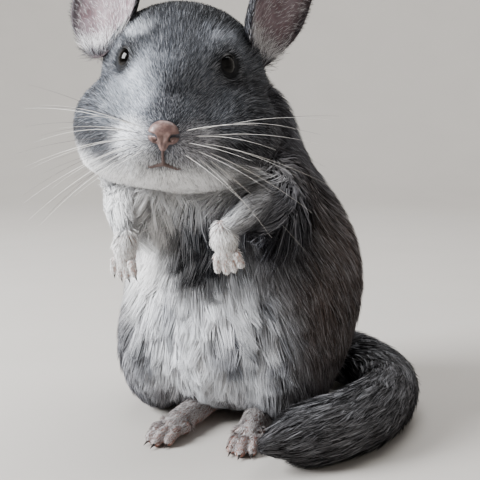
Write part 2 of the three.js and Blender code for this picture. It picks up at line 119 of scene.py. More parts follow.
# %% The torso's forms
NAPE = egg((-5, 2, 136), (36, 35, 33))
torso_form = blend(
    [
        egg((3, 14, 63), (60, 53, 64)),  # rump
        egg((0, -12, 50), (40, 31, 44)),  # belly
        *both((33, -3, 33), (21, 36, 35)),  # haunches
        egg((-1, 14, 84), (44, 42, 48)),  # back and ribs
        egg((-3, 9, 113), (37, 38, 34)),  # withers
        egg((-3, -13, 110), (35, 31, 34)),  # chest
        *both((26, -13, 108), (18, 21, 26)),  # shoulders
        NAPE,
    ],
    SOFTNESS,
)

# %% The head's forms
head_eggs = [
    egg((0, 23, -3), (37.5, 35, 32)),  # cranium
    egg((0, -2, -11), (20, 24, 22)),  # brow and bridge
    egg((0, -17, -27), (14.5, 18.5, 14)),  # muzzle
    *both((8.5, -22, -34), (10, 11, 9)),  # whisker pads
    *both((18, -7, -28), (13, 16, 16), 0, 0, 30),  # upper jaw
    *both((25, 7, -28), (21, 26, 21)),  # cheeks
    egg((0, -9, -41), (16, 15, 9)),  # chin
    egg((0, 7, -43), (41, 29, 13)),  # ruff
    *both((17.6, -4, 0), (7.8, 7.8, 7.8)),  # mounds round the eyes
]


def head_form(points):
    there = on_head(points)
    eggs = [lambda p, form=form: form(there) for form in head_eggs]
    return blend([*eggs, NAPE], HEAD_SOFTNESS)(points)


# %% [markdown]
# ## Arms
#
# The short arms leave the shoulders inside the coat and end at wrists held before the
# chest. A rounded tube along a few joints says this well: it is the distance to the
# nearest stretch, less a thickness that tapers.

# %% A tapering tube through joints
def tube(joints, widths):
    joints, widths = np.array(joints, float), np.array(widths, float)

    def outside(points):
        best = np.full(len(points), np.inf)
        for a, b, wide_a, wide_b in zip(joints, joints[1:], widths, widths[1:]):
            way = b - a
            share = np.clip((points - a) @ way / (way @ way), 0, 1)
            gap = np.linalg.norm(points - a - share[:, None] * way, axis=1)
            best = np.minimum(best, gap - (wide_a + (wide_b - wide_a) * share))
        return best

    return outside


ARMS = {
    RIGHT: [(-27, -22, 114), (-35, -38, 108), (-31.5, -51, 102), (-26, -58.5, 95)],
    LEFT: [(26, -22, 115), (32, -38, 108.5), (27.5, -49, 104), (20.5, -55, 99.5)],
}
ARM_WIDTHS = (12, 11, 7.6, 5.4)
arm_forms = [tube(ARMS[side], ARM_WIDTHS) for side in (LEFT, RIGHT)]
body_form = blend([torso_form, head_form, *arm_forms], JOIN_SOFTNESS)


def slope(form, points, step=0.6):
    """The way out of a form at each point."""
    here = form(points)
    made = np.stack([form(points + step * axis) - here for axis in np.eye(3)], axis=1)
    return made / np.maximum(np.linalg.norm(made, axis=1, keepdims=True), 1e-9)


# %% [markdown]
# ## How deep the coat is
#
# A chinchilla has the densest fur of any land animal. Its hairs are over two centimetres
# long and lean over to stand more than a centimetre deep on the back. The coat dwindles
# over the cheeks to almost nothing on the nose. Its depth decides where the skin lies
# under the outline, so it comes before the skin.

# %% Depth of the coat at each point
def smooth(low, high, value):
    """From 0 at low to 1 at high, eased at both ends."""
    share = np.clip((value - low) / (high - low), 0, 1)
    return share * share * (3 - 2 * share)


BODY_DEPTH, ARM_DEPTH = 12.0, 2.6
EYE_RADIUS = 6.3


def eye_centre(side):
    return np.array((side * 18.8, -5, 0.0))


NOSE = np.array((0, -37, -29), float)
NAPE_SPOT, NAPE_WAY = np.array((-8, -46, 115), float), np.array((0, -0.793, 0.609))


def past_nape(points):
    """How far points lie on the head's side of a plane between head and body."""
    return (points - NAPE_SPOT) @ NAPE_WAY


def coat_depth(points):
    """How far the tips stand from the skin."""
    there = on_head(points)
    from_nose = np.linalg.norm(there - NOSE, axis=1)
    face = 0.35 + 3.4 * smooth(7, 60, from_nose) + 2.4 * smooth(35, 62, from_nose)
    for side in (LEFT, RIGHT):
        from_eye = np.linalg.norm(there - eye_centre(side), axis=1)
        face += (1.4 - face) * smooth(14, 8, from_eye)
    onto_head = smooth(-12, 10, past_nape(points))
    trunk = BODY_DEPTH - 3.0 * smooth(35, 5, points[:, 2])
    arm = np.minimum(arm_forms[0](points), arm_forms[1](points))
    on_arm = smooth(3.5, -0.5, arm) * smooth(-34, -44, points[:, 1])
    depth = trunk + (face - trunk) * onto_head
    return depth + (ARM_DEPTH - depth) * on_arm


print("depth on the crown and back:", coat_depth(np.array([(-8.0, -20, 196), (0, 60, 80)])).round(1))

# %% [markdown]
# ## One skin
#
# The skin could be modelled by hand with extrusions, but a body that is round all over
# would then need many loops. Instead a fine ball is swollen from inside until each of its
# points meets the wanted level. Body and head are swollen apart and joined to arms of
# close balls, and a voxel remesh makes them one closed skin with an even mesh and no seams.

# %% Swelling a ball to a form
def mesh_from(name, build):
    """A mesh object from a function that fills a bmesh."""
    mesh = bpy.data.meshes.new(name)
    bm = bmesh.new()
    build(bm)
    bm.to_mesh(mesh)
    bm.free()
    made = bpy.data.objects.new(name, mesh)
    bpy.context.collection.objects.link(made)
    return made


def places(mesh):
    flat = np.empty(len(mesh.vertices) * 3, np.float32)
    mesh.vertices.foreach_get("co", flat)
    return flat.reshape(-1, 3).astype(float)


def put_places(mesh, points):
    mesh.vertices.foreach_set("co", points.astype(np.float32).ravel())
    mesh.update()


HALVINGS = 18


def swell(name, level, centre, detail=6, reach=130.0):
    """A ball pushed out from a centre to where level(points) turns positive."""
    ball = mesh_from(name, lambda bm: bmesh.ops.create_icosphere(bm, subdivisions=detail, radius=1))
    ways = places(ball.data)
    ways /= np.linalg.norm(ways, axis=1, keepdims=True)
    near, far = np.zeros(len(ways)), np.full(len(ways), reach)
    for _ in range(HALVINGS):
        middle = (near + far) / 2
        out = level(centre + ways * middle[:, None]) > 0
        near, far = np.where(out, near, middle), np.where(out, middle, far)
    put_places(ball.data, (centre + ways * far[:, None]) * MM)
    return ball


def beads(name, joints, widths, spacing=1.2):
    """Balls along a tube, close enough to merge."""
    def build(bm):
        for a, b, wide_a, wide_b in zip(joints, joints[1:], widths, widths[1:]):
            a, b = Vector(a), Vector(b)
            count = max(2, int((b - a).length / spacing))
            for k in range(count + 1):
                share = k / count
                radius = wide_a + (wide_b - wide_a) * share
                place = Matrix.Translation(a.lerp(b, share) * MM)
                bmesh.ops.create_icosphere(bm, subdivisions=3, radius=radius * MM, matrix=place)

    return mesh_from(name, build)


# %% Joining and remeshing
def finish_with(piece, kind, **settings):
    """Applies one modifier."""
    step = piece.modifiers.new(kind.title(), kind)
    for key, value in settings.items():
        setattr(step, key, value)
    with bpy.context.temp_override(object=piece, active_object=piece, selected_objects=[piece]):
        bpy.ops.object.modifier_apply(modifier=step.name)


def joined(name, pieces):
    first = pieces[0]
    with bpy.context.temp_override(active_object=first, object=first, selected_editable_objects=pieces):
        bpy.ops.object.join()
    first.name = first.data.name = name
    return first


def one_skin(piece, voxel, rounds=4):
    """A closed even skin over all that was joined."""
    finish_with(piece, "REMESH", mode="VOXEL", voxel_size=voxel * MM, use_smooth_shade=True)
    finish_with(piece, "SMOOTH", factor=0.5, iterations=rounds)
    return piece


TORSO_CENTRE = np.array((-1, 0, 78), float)
HEAD_CENTRE = off_head((0, 8, -14))[0]
trunk = swell("trunk", lambda p: torso_form(p) + np.minimum(coat_depth(p), BODY_DEPTH), TORSO_CENTRE)
head = swell("head skin", lambda p: head_form(p) + coat_depth(p), HEAD_CENTRE)
arms = [
    beads(f"arm {NAMES[side]}", ARMS[side], [w - ARM_DEPTH for w in ARM_WIDTHS]) for side in ARMS
]
skin = one_skin(joined("skin", [trunk, head, *arms]), voxel=1.15)
print("skin faces:", len(skin.data.polygons))

# %% [markdown]
# ## Colours of the coat
#
# Fur is painted where it grows. A base colour for head and body is laid down first, and
# soft-edged patches are painted over it, as a model maker would with an airbrush: a
# charcoal crown, silver over the eyes, pale sides to the muzzle, a white ruff and arm.
# The fourth number is the veil, the share of dark tips that a tuft there carries.

# %% Painting helpers
def linear(hex_colour):
    """A colour as the shaders want it, from its web name."""
    parts = [int(hex_colour[k : k + 2], 16) / 255 for k in (1, 3, 5)]
    return np.array([p / 12.92 if p <= 0.04045 else ((p + 0.055) / 1.055) ** 2.4 for p in parts])


def ripple(points, size, seed=0):
    """Slow waves from -1 to 1 that never repeat in sight, for patches and swirls."""
    total = np.zeros(len(points))
    for k in range(3):
        way = turned(37 * k + 71 * seed, 53 * k + 29 * seed, 17 * k)
        p = points @ way / size * (1 + 0.6 * k) + seed
        total += np.sin(p[:, 0] + 1.7 * np.sin(p[:, 1])) * np.cos(p[:, 1] + 1.3 * np.sin(p[:, 2]))
    return total / 3


def patch(points, centre, radii, soft=0.45):
    """How much of a soft-edged patch covers each point."""
    ratio = np.linalg.norm((points - np.array(centre)) / np.array(radii), axis=1)
    return smooth(1 + soft, 1 - soft, ratio)


# The paired patches of the face differ by side: paler on the animal's right, darker on its left. This
# is partly the coat's own colour, and partly painted light on the side the main lamp falls on and
# painted shade on the side away from it.
HEAD_PATCHES = [  # centre and radii on the head, colour, veil, strength
    ((0, 24, 24), (38, 36, 25), "#141518", 1.0, 0.95),  # crown
    ((0, -8, 13), (11, 16, 13), "#43464d", 0.9, 0.8),  # forehead
    ((0, -30, -14), (7, 9, 9), "#3f4046", 0.7, 0.8),  # bridge
    # this pair is partly painted light on the animal's right and painted shade on its left
    ((-17, -15, -14), (14, 16, 15), "#b9c0ca", 0.35, 0.85),  # face beside the bridge
    ((17, -15, -14), (13, 16, 14), "#5f636b", 0.6, 0.8),
    # this pair is partly painted light on the animal's right and painted shade on its left
    ((-21, -6, 12.5), (11, 10, 3), "#c3c7cf", 0.3, 0.85),  # brows
    ((21, -6, 12.5), (11, 10, 3), "#8d9199", 0.35, 0.8),
    ((-20, -6, 0), (9, 9, 8.5), "#18181b", 0.6, 0.95),  # rings round the eyes
    ((20, -6, 0), (9.5, 9, 9), "#141417", 0.6, 0.95),
    ((-29, 18, 20), (9, 10, 14), "#1d1e22", 0.9, 0.9),  # before the ears
    ((30, 18, 20), (9, 10, 14), "#1a1b1f", 0.9, 0.9),
    # this pair is partly painted light on the animal's right and painted shade on its left
    ((-36, 0, -18), (15, 22, 16), "#494d55", 0.9, 0.9),  # cheeks
    ((36, 0, -18), (16, 22, 17), "#292a2e", 0.9, 0.9),
    # this pair is partly painted light on the animal's right and painted shade on its left
    ((-13, -28, -33), (11, 12, 9), "#e4e6ea", 0.05, 0.95),  # sides of the muzzle
    ((13, -28, -33), (11, 12, 9), "#b3b2b7", 0.1, 0.85),
    # the hem on the animal's left is darker, wider and stronger: partly painted shade on the side away
    # from the main lamp
    ((34, -10, -34), (22, 20, 5), "#222226", 0.9, 0.9),  # dark hem of the cheek
    ((-36, -10, -32), (16, 18, 4), "#3a3b40", 0.9, 0.7),
    ((0, -4, -56), (60, 50, 15), "#ffffff", 0.0, 1.0),  # chin and ruff
    # the ruff on the animal's left is a little greyer and narrower: partly painted shade on the side
    # away from the main lamp
    ((-46, 6, -48), (22, 30, 13), "#ffffff", 0.0, 1.0),
    ((44, 2, -47), (22, 30, 8.5), "#f4f2f0", 0.0, 0.95),
]

BODY_PATCHES = [
    ((0, 62, 92), (40, 40, 74), "#3a3433", 0.8, 0.95),  # back
    ((62, -4, 84), (34, 52, 62), "#5c4f4a", 0.55, 0.95),  # left flank
    ((-62, 10, 84), (30, 44, 60), "#55504f", 0.6, 0.9),  # right flank
    ((2, -54, 52), (42, 34, 62), "#e6e8ec", 0.05, 1.0),  # belly
    ((-34, -34, 98), (24, 30, 34), "#ffffff", 0.0, 1.0),  # the right shoulder and arm
    ((-6, -48, 118), (50, 24, 10), "#ffffff", 0.0, 0.95),  # under the ruff
    ((3, -38, 93), (19, 24, 18), "#17191e", 0.3, 1.0),  # dark locks of the chest
    ((36, -34, 92), (14, 20, 16), "#26262b", 0.5, 0.9),
    ((12, -42, 45), (10, 22, 8), "#4b4d55", 0.3, 0.9),  # dark locks of the belly
    ((-13, -40, 60), (3, 20, 13), "#5d6068", 0.3, 0.7),
    ((-27, -36, 40), (4, 20, 10), "#6d7078", 0.3, 0.6),
    ((24, -38, 68), (3, 22, 12), "#4d4f57", 0.3, 0.75),
    ((34, -32, 46), (4, 22, 15), "#5d5f67", 0.3, 0.7),
    ((48, -34, 18), (14, 16, 15), "#1f1e21", 0.7, 0.9),
    ((60, 8, 50), (14, 34, 30), "#453a36", 0.7, 0.8),  # rump and flank
    ((32, -38, 106), (16, 18, 15), "#56565c", 0.6, 0.9),  # the left arm
    ((19, -57, 96), (9, 9, 9), "#e4e4e7", 0.1, 0.9),
]
# Places on the head where dark and pale fur stands in fine rows, each a centre and radii.
SPECKLE = [((-40, 4, -14), (16, 26, 20)), ((40, 4, -14), (16, 26, 20)), ((0, 30, 22), (44, 34, 24))]


def painted(points, base, veil, patches):
    """Colour and veil at points, patches laid over a base in their order."""
    made = np.tile([*linear(base), veil], (len(points), 1))
    for centre, radii, colour, its_veil, strength in patches:
        cover = patch(points, centre, radii)[:, None] * strength
        made += cover * (np.array([*linear(colour), its_veil]) - made)
    return made


def markings(points):
    """The coat's colour, red, green, blue and veil, at points of the body in millimetres."""
    wander = 3.0 * np.stack([ripple(points, 9, k) for k in range(3)], axis=1)
    body = painted(points + wander, "#5c5b60", 0.9, BODY_PATCHES)
    face = painted(on_head(points) + wander * 0.5, "#6c7078", 0.8, HEAD_PATCHES)
    onto_head = smooth(-6, 8, past_nape(points))
    made = body + (face - body) * onto_head[:, None]
    there = on_head(points)
    rows = np.sin(1.3 * np.linalg.norm(there - NOSE, axis=1) + 2.4 * ripple(points, 8, 3))
    speckled = np.clip(sum(patch(there, *spot) for spot in SPECKLE), 0, 1) * onto_head
    made[:, :3] *= (1 + 0.85 * speckled * rows + 0.25 * ripple(points, 4.5, 5))[:, None]
    return np.clip(made, 0, 1)


print("colour of the crown:", markings(np.array([(-8.0, -20, 196)])).round(2))

# %% [markdown]
# ## Which way the fur lies
#
# Fur streams away from the nose, over the brow and cheeks, down the neck and back, and
# along each arm to the wrist. A stream is a direction for each point; the part that
# points into the skin is taken off later, so the stream need only be roughly right.

# %% Streams
BELLY = (0, -48, 62), (50, 32, 60)  # centre and radii, where the locks hang loose


def unit(ways):
    return ways / np.maximum(np.linalg.norm(ways, axis=1, keepdims=True), 1e-9)


def lie(points):
    """The way of the stream at points of the body."""
    there = on_head(points)
    face = unit(there - (NOSE + (0, -8, -4))) + (0, 0.2, 0)
    face[:, 2] -= 0.9 * smooth(26, 44, np.linalg.norm(there[:, [0, 2]] + (0, 6), axis=1))
    face = unit(face) @ HEAD_TURN.T
    down = np.full(len(points), -1)
    back = np.stack([points[:, 0] * 0.004, 0.25 + points[:, 1] * 0.002, down], axis=1)
    onto_head = smooth(-8, 8, past_nape(points))[:, None]
    made = unit(back) * (1 - onto_head) + face * onto_head
    for side, form in zip((LEFT, RIGHT), arm_forms):
        joints = np.array(ARMS[side], float)
        down_arm = (joints[-1] - joints[-3]) / np.linalg.norm(joints[-1] - joints[-3])
        on_arm = smooth(3.0, -1.0, form(points)) * smooth(-32, -42, points[:, 1])
        made += on_arm[:, None] * (down_arm - made)
    swirl = np.stack([ripple(points, 11, 11 + k) for k in range(3)], axis=1)
    on_belly = patch(points, *BELLY)[:, None]
    return unit(made + (0.26 + 0.5 * on_belly) * swirl)


# %% [markdown]
# ## Tufts
#
# Particle hair doesn't survive an export, so every tuft is a small mesh: a tapered blade
# of two quads and a triangle, rooted in the skin. It rises, bends over with the stream,
# and its tip is set against the outline. Neighbours lean together towards the tip of a
# guide, which gives the soft clumps of real fur. A quarter of a million blades would be
# slow one by one, so they are worked out together in arrays and joined as they are made.

# %% Scattering roots over a skin
chance = np.random.default_rng(7)


class Ground:
    """A piece's surface, to scatter roots on."""

    def __init__(self, piece):
        mesh = piece.data
        mesh.calc_loop_triangles()
        corners = np.empty(len(mesh.loop_triangles) * 3, np.int32)
        mesh.loop_triangles.foreach_get("vertices", corners)
        self.corners = corners.reshape(-1, 3)
        self.points = places(mesh) / MM
        normals = np.empty(len(mesh.vertices) * 3, np.float32)
        mesh.vertices.foreach_get("normal", normals)
        self.normals = normals.reshape(-1, 3).astype(float)
        a, b, c = (self.points[self.corners[:, k]] for k in range(3))
        self.areas = np.linalg.norm(np.cross(b - a, c - a), axis=1) / 2
        self.middles = (a + b + c) / 3

    def scatter(self, density):
        """Roots and their normals. density(points) is tufts per square millimetre."""
        wanted = self.areas * density(self.middles)
        counts = np.floor(wanted + chance.random(len(wanted))).astype(int)
        picked = np.repeat(np.arange(len(wanted)), counts)
        r, s = np.sqrt(chance.random(len(picked))), chance.random(len(picked))
        share = np.stack([1 - r, r * (1 - s), r * s], axis=1)[:, :, None]
        roots = (self.points[self.corners[picked]] * share).sum(axis=1)
        return roots, unit((self.normals[self.corners[picked]] * share).sum(axis=1))


# %% The path of each tuft
STEPS = np.array((0.0, 0.36, 0.72, 1.0))
BLADE = np.array((0.75, 1.0, 0.72))  # shares of a blade's width at its first three steps
BEND_UP, BEND_AHEAD = 0.8, 0.3  # where a tuft bends, as shares of its depth and length
STRAYS = 0.93  # luck above this lifts a tuft's tip past the outline


def flat_on(ways, normals):
    """Ways without the part that points out of the skin."""
    return unit(ways - normals * (ways * normals).sum(axis=1, keepdims=True))


def paths(roots, normals, ways, length, depth, outline=None, stray=0.5, ragged=0.16):
    """Root, rise, bend and tip of each tuft, as an array of tufts by steps by 3."""
    n = len(roots)
    ways = flat_on(ways + ragged * chance.normal(size=(n, 3)), normals)
    length = (length * chance.uniform(0.75, 1.15, n))[:, None]
    depth = depth[:, None]
    bend = roots + normals * depth * BEND_UP + ways * length * BEND_AHEAD
    tip = roots + normals * depth + ways * length
    if outline is not None:
        level = -np.abs(chance.normal(0, 1, n)) * 0.09 * depth[:, 0]
        level += stray * (chance.random(n) > STRAYS)
        for _ in range(2):
            tip -= slope(outline, tip) * (outline(tip) - level)[:, None]
    t = STEPS[None, :, None]
    return (1 - t) ** 2 * roots[:, None] + 2 * t * (1 - t) * bend[:, None] + t**2 * tip[:, None]


def clump(tufts, strength, one_in):
    """Leans each tuft towards the nearest of some guides, more so at its tip."""
    guides = np.arange(0, len(tufts), one_in)
    tree = KDTree(len(guides))
    for k, g in enumerate(guides):
        tree.insert(tufts[g, 0], k)
    tree.balance()
    nearest = np.array([tree.find(root)[1] for root in tufts[:, 0]])
    toward = tufts[guides[nearest]] - tufts
    lean = strength.reshape(-1, 1, 1) * (STEPS**1.4)[None, :, None]
    return tufts + toward * lean, nearest


# %% Blades from paths
MOST_TUFTS = 38000  # a piece of five triangles a tuft stays under 200,000
POINTS, FACES, LOOPS = 7, 3, 11  # of one blade
CORNERS = np.array((0, 1, 3, 2, 2, 3, 5, 4, 4, 5, 6))
FIRST_LOOPS = np.array((0, 4, 8))
PATCH_SIZE = 0.003  # of a tuft on the unwrap
FLOOR_CLEARANCE = 0.3
TWIST = 0.45  # radians, the usual turn of a blade about its length


def store(mesh, name, kind, values):
    field = "vector" if kind == "FLOAT_VECTOR" else "color"
    mesh.attributes.new(name, kind, "POINT").data.foreach_set(field, values.astype(np.float32).ravel())


def rescaled(values):
    low, high = values.min(), values.max()
    return 0.01 + 0.98 * (values - low) / max(high - low, 1e-9)


def coat_piece(name, tufts, normals, width, colour, tone, spread):
    """One mesh of blades. spread gives each root's place on the unwrap of the skin."""
    n = len(tufts)
    tangent = unit(tufts[:, 2] - tufts[:, 0])
    twist = chance.normal(0, TWIST, n)[:, None]
    across = unit(np.cross(tangent, normals))
    across = across * np.cos(twist) + np.cross(tangent, across) * np.sin(twist)
    outward = np.cross(across, tangent)
    outward *= np.sign((outward * normals).sum(axis=1, keepdims=True))
    half = across[:, None] * (width[:, None] / 2 * BLADE)[:, :, None]
    verts = np.empty((n, POINTS, 3))
    verts[:, 0:6:2] = tufts[:, :3] - half
    verts[:, 1:6:2] = tufts[:, :3] + half
    verts[:, 6] = tufts[:, 3]
    verts[..., 2] = np.maximum(verts[..., 2], FLOOR_CLEARANCE)
    mesh = bpy.data.meshes.new(name)
    mesh.vertices.add(n * POINTS)
    mesh.vertices.foreach_set("co", (verts * MM).astype(np.float32).ravel())
    mesh.loops.add(n * LOOPS)
    indices = np.arange(n)[:, None] * POINTS + CORNERS
    mesh.loops.foreach_set("vertex_index", indices.astype(np.int32).ravel())
    mesh.polygons.add(n * FACES)
    starts = np.arange(n)[:, None] * LOOPS + FIRST_LOOPS
    mesh.polygons.foreach_set("loop_start", starts.astype(np.int32).ravel())
    mesh.update(calc_edges=True)

    along = np.array((0, 0, STEPS[1], STEPS[1], STEPS[2], STEPS[2], 1.0))
    side = np.array((0, 1, 0, 1, 0, 1, 0.5))
    tones, lucks = (np.repeat(a, POINTS, 1) for a in (tone[:, None], chance.random((n, 1))))
    tuft_facts = np.stack([np.tile(along, (n, 1)), tones, lucks], axis=2)
    store(mesh, "Tuft", "FLOAT_VECTOR", tuft_facts.reshape(-1, 3))
    store(mesh, "Marking", "FLOAT_COLOR", np.repeat(colour, POINTS, axis=0))
    flat = spread[:, None] + PATCH_SIZE * np.stack([side - 0.5, along - 0.5], axis=1)[None]
    uv = mesh.uv_layers.new(name="OFBake")
    uv.data.foreach_set("uv", np.clip(flat[:, CORNERS], 0, 1).astype(np.float32).ravel())
    shade = np.repeat(unit(normals * 0.7 + outward * 0.4), POINTS, axis=0)
    mesh.normals_split_custom_set_from_vertices(shade)
    made = bpy.data.objects.new(name, mesh)
    bpy.context.collection.objects.link(made)
    return made


def coat(name, tufts, normals, width, colour, tone, turn_round, height, paint, slot):
    """Splits a coat into pieces of neighbouring tufts, dresses them and sets them on the body."""
    order = np.argsort(turn_round)
    parts = np.array_split(order, math.ceil(len(order) / MOST_TUFTS))
    for k, part in enumerate(parts):
        spread = np.stack([rescaled(turn_round[part]), rescaled(height[part])], axis=1)
        facts = (tufts[part], normals[part], width[part], colour[part], tone[part])
        piece = coat_piece(f"{name}_{k + 1}", *facts, spread)
        piece.data.materials.append(paint)
        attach(piece, "root")
    print(name, len(order), "tufts in", len(parts), "pieces")


# %% [markdown]
# ## Materials
#
# Shader maths reads best as sums. One small class stands for a socket and turns + - * /
# into Math nodes, and another holds a material and adds any other node. Colours are
# blended by Mix nodes, because a Math node would turn them grey.

# %% Sockets that can be added up
class Wire:
    def __init__(self, paint, socket):
        self.paint, self.socket = paint, socket

    def sum(self, operation, other, swapped=False):
        pair = (other, self) if swapped else (self, other)
        return self.paint.node("ShaderNodeMath", {"operation": operation}, dict(enumerate(pair)))

    def __add__(self, other):
        return self.sum("ADD", other)

    def __sub__(self, other):
        return self.sum("SUBTRACT", other)

    def __rsub__(self, other):
        return self.sum("SUBTRACT", other, swapped=True)

    def __mul__(self, other):
        return self.sum("MULTIPLY", other)

    __radd__, __rmul__ = __add__, __mul__


class Paint:
    """A material, and the one way in which it gets nodes."""

    MIX_SHARE, MIX_A, MIX_B, MIX_COLOUR = 0, 6, 7, 2

    def __init__(self, name, **constants):
        self.material = bpy.data.materials.new(name)
        self.material.use_nodes = True
        self.tree = self.material.node_tree
        self.surface = self.tree.nodes["Principled BSDF"]
        for socket, value in constants.items():
            self.surface.inputs[socket.replace("_", " ")].default_value = value

    def node(self, kind, settings=None, values=None, out=0):
        made = self.tree.nodes.new(kind)
        for key, value in (settings or {}).items():
            setattr(made, key, value)
        for socket, value in (values or {}).items():
            if isinstance(value, Wire):
                self.tree.links.new(value.socket, made.inputs[socket])
            else:
                made.inputs[socket].default_value = value
        return Wire(self, made.outputs[out])

    def feed(self, **wires):
        for socket, wire in wires.items():
            self.tree.links.new(wire.socket, self.surface.inputs[socket.replace("_", " ")])
        return self.material

    def stored(self, name, part="Vector"):
        return self.node("ShaderNodeAttribute", {"attribute_name": name}, out=part)

    def parts(self, vector):
        split = self.node("ShaderNodeSeparateXYZ", None, {0: vector})
        return [Wire(self, socket) for socket in split.socket.node.outputs]

    def mix(self, share, low, high, how="MIX"):
        settings = {"data_type": "RGBA", "blend_type": how}
        values = {self.MIX_SHARE: share, self.MIX_A: low, self.MIX_B: high}
        return self.node("ShaderNodeMix", settings, values, out=self.MIX_COLOUR)

    def ease(self, value, low, high):
        settings = {"interpolation_type": "SMOOTHSTEP"}
        values = {"Value": value, "From Min": low, "From Max": high}
        return self.node("ShaderNodeMapRange", settings, values)

    def grain(self, size, detail=3.0, twist=0.0):
        """Noise on the piece's own place, with spots of a size in millimetres."""
        where = self.node("ShaderNodeTexCoord", out="Object")
        values = {"Vector": where, "Scale": 1 / (size * MM), "Detail": detail, "Distortion": twist}
        return self.node("ShaderNodeTexNoise", None, values)

    def pebbles(self, scale):
        where = self.node("ShaderNodeTexCoord", out="Object")
        return self.node("ShaderNodeTexVoronoi", None, {"Vector": where, "Scale": scale})

    def bump(self, height, depth, strength=0.6):
        values = {"Height": height, "Distance": depth * MM, "Strength": strength}
        return self.node("ShaderNodeBump", None, values)


def rgba(hex_colour):
    return (*linear(hex_colour), 1.0)


# %% [markdown]
# ### Fur
#
# A chinchilla's hair is slate at the root, pale above it and often dark at the tip. From
# outside one sees mostly the upper half, so the marking's colour takes over by the middle of
# the length. Where the veil is strong, some tips are dark, which mottles the crown and
# back like pepper on salt.

# %% Fur and skin under it
def fur_paint(name, root="#3c3e46", tip="#0b0b0d", tips=0.9):
    paint = Paint(name, Roughness=0.75, Specular_IOR_Level=0.12)
    marking, veil = paint.stored("Marking", "Color"), paint.stored("Marking", "Alpha")
    along, tone, luck = paint.parts(paint.stored("Tuft"))
    lively = paint.mix(paint.ease(tone, 0.45, 1.0) * (0.42 - veil * 0.2), marking, rgba("#e8eaf0"))
    gloom = paint.ease(tone, 0.6, 0.0) * (veil * 0.3 + 0.55)
    shaded = paint.mix(gloom, lively, rgba("#33343b"), "MULTIPLY")
    near_root = (1 - paint.ease(along, 0.02, 0.5)) * (veil * 0.35 + 0.6)
    body = paint.mix(near_root, shaded, rgba(root), "MULTIPLY")
    dark_tip = paint.ease(along, 0.5, 0.9) * veil * paint.ease(luck, 0.3, 0.7) * tips
    return paint.feed(Base_Color=paint.mix(dark_tip, body, rgba(tip)))


def skin_paint():
    paint = Paint("skin under the coat", Roughness=0.8, Specular_IOR_Level=0.2)
    marking = paint.stored("Marking", "Color")
    under = paint.mix(0.75, marking, rgba("#6a6b74"), "MULTIPLY")
    grain = paint.grain(1.6)
    colour = paint.mix(paint.ease(grain, 0.35, 0.65) * 0.5, under, rgba("#2e2f35"), "MULTIPLY")
    return paint.feed(Base_Color=colour, Normal=paint.bump(grain, 0.4))


FUR = fur_paint("fur")
TAIL_FUR = fur_paint("tail fur", root="#6a6a70", tip="#a09ea2", tips=0.5)
skin.data.materials.append(skin_paint())
store(skin.data, "Marking", "FLOAT_COLOR", markings(places(skin.data) / MM))
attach(skin, "root")
FLESH = ["head", "neck", "torso"] + [f"{p}_{s}" for p in ("haunch", "foreleg") for s in NAMES.values()]
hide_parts(*FLESH)
print("the skin stands for", ", ".join(FLESH))

# %% [markdown]
# ## The coat of head, body and arms
#
# The tufts are closest and finest on the face, where they show most, and longer and
# looser on the belly, where they part into locks. None grows on the nose or inside the
# lids, and any that would cross an eye is taken away.

# %% Growing the coat
HEAD_DENSITY, BODY_DENSITY = 4.6, 2.5  # tufts per square millimetre
LOWEST_TIP = -6  # a tuft that would reach deeper than this into the floor is left out


def eye_way(side):
    return unit(np.array([(side * 0.8, -0.58, 0.14)]))[0]


def over_an_eye(points, within=9.6, opening=45):
    """Points in front of an eyeball, where its opening must stay clear."""
    there, clear = on_head(points), np.zeros(len(points), bool)
    for side in (LEFT, RIGHT):
        away = there - eye_centre(side)
        far = np.linalg.norm(away, axis=1)
        clear |= (far < within) & (away @ eye_way(side) > far * math.cos(math.radians(opening)))
    return clear


def coat_density(points):
    """Tufts per square millimetre, none on the nose or over the eyes."""
    there = on_head(points)
    onto_head = smooth(-10, 8, past_nape(points))
    bare = patch(there, NOSE + (0, 2, 0), (6.2, 5.5, 5.4), 0.08)
    bare = np.maximum(bare, 0.75 * patch(there, (0, -26, -42.3), (9, 9, 1.3), 0.3))
    density = BODY_DENSITY + (HEAD_DENSITY - BODY_DENSITY) * onto_head
    return density * (1 - bare) * ~over_an_eye(points, 8.6, 50)


def on_head_side(points):
    return past_nape(points) > 0


def coat_length(points, depth):
    low = smooth(-30, -48, on_head(points)[:, 2]) * smooth(0, 6, depth)
    return 1.2 + 1.75 * depth + low * np.where(on_head_side(points), 5.0, 2.5)


def grown(name, here, one_in, middle):
    """The coat over the part of the skin where here(points) is true."""
    roots, normals = ground.scatter(lambda points: coat_density(points) * here(points))
    depth = coat_depth(roots)
    length = coat_length(roots, depth)
    tufts = paths(roots, normals, lie(roots), length, depth, body_form)
    on_belly = patch(roots, *BELLY)
    ruff = smooth(-34, -48, on_head(roots)[:, 2]) * on_head_side(roots)
    grip = 0.1 + 0.34 * smooth(2, 11, depth) + 0.3 * np.maximum(on_belly, ruff)
    tufts, guide = clump(tufts, grip, one_in)
    own = 0.8 - 0.5 * on_belly
    tone = (1 - own) * chance.random(guide.max() + 1)[guide] + own * chance.random(len(roots))
    kept = ~over_an_eye(tufts.reshape(-1, 3)).reshape(len(tufts), -1).any(axis=1)
    kept &= tufts[:, 3, 2] > LOWEST_TIP
    roots, normals, tufts, tone, length = (a[kept] for a in (roots, normals, tufts, tone, length))
    colour = markings(roots + 0.35 * (tufts[:, 3] - roots))
    away = roots - middle
    turn_round = np.arctan2(away[:, 0], -away[:, 1])
    facts = (0.17 + 0.016 * length, colour, tone)
    coat(name, tufts, normals, *facts, turn_round, away[:, 2], FUR, "fur_silver")


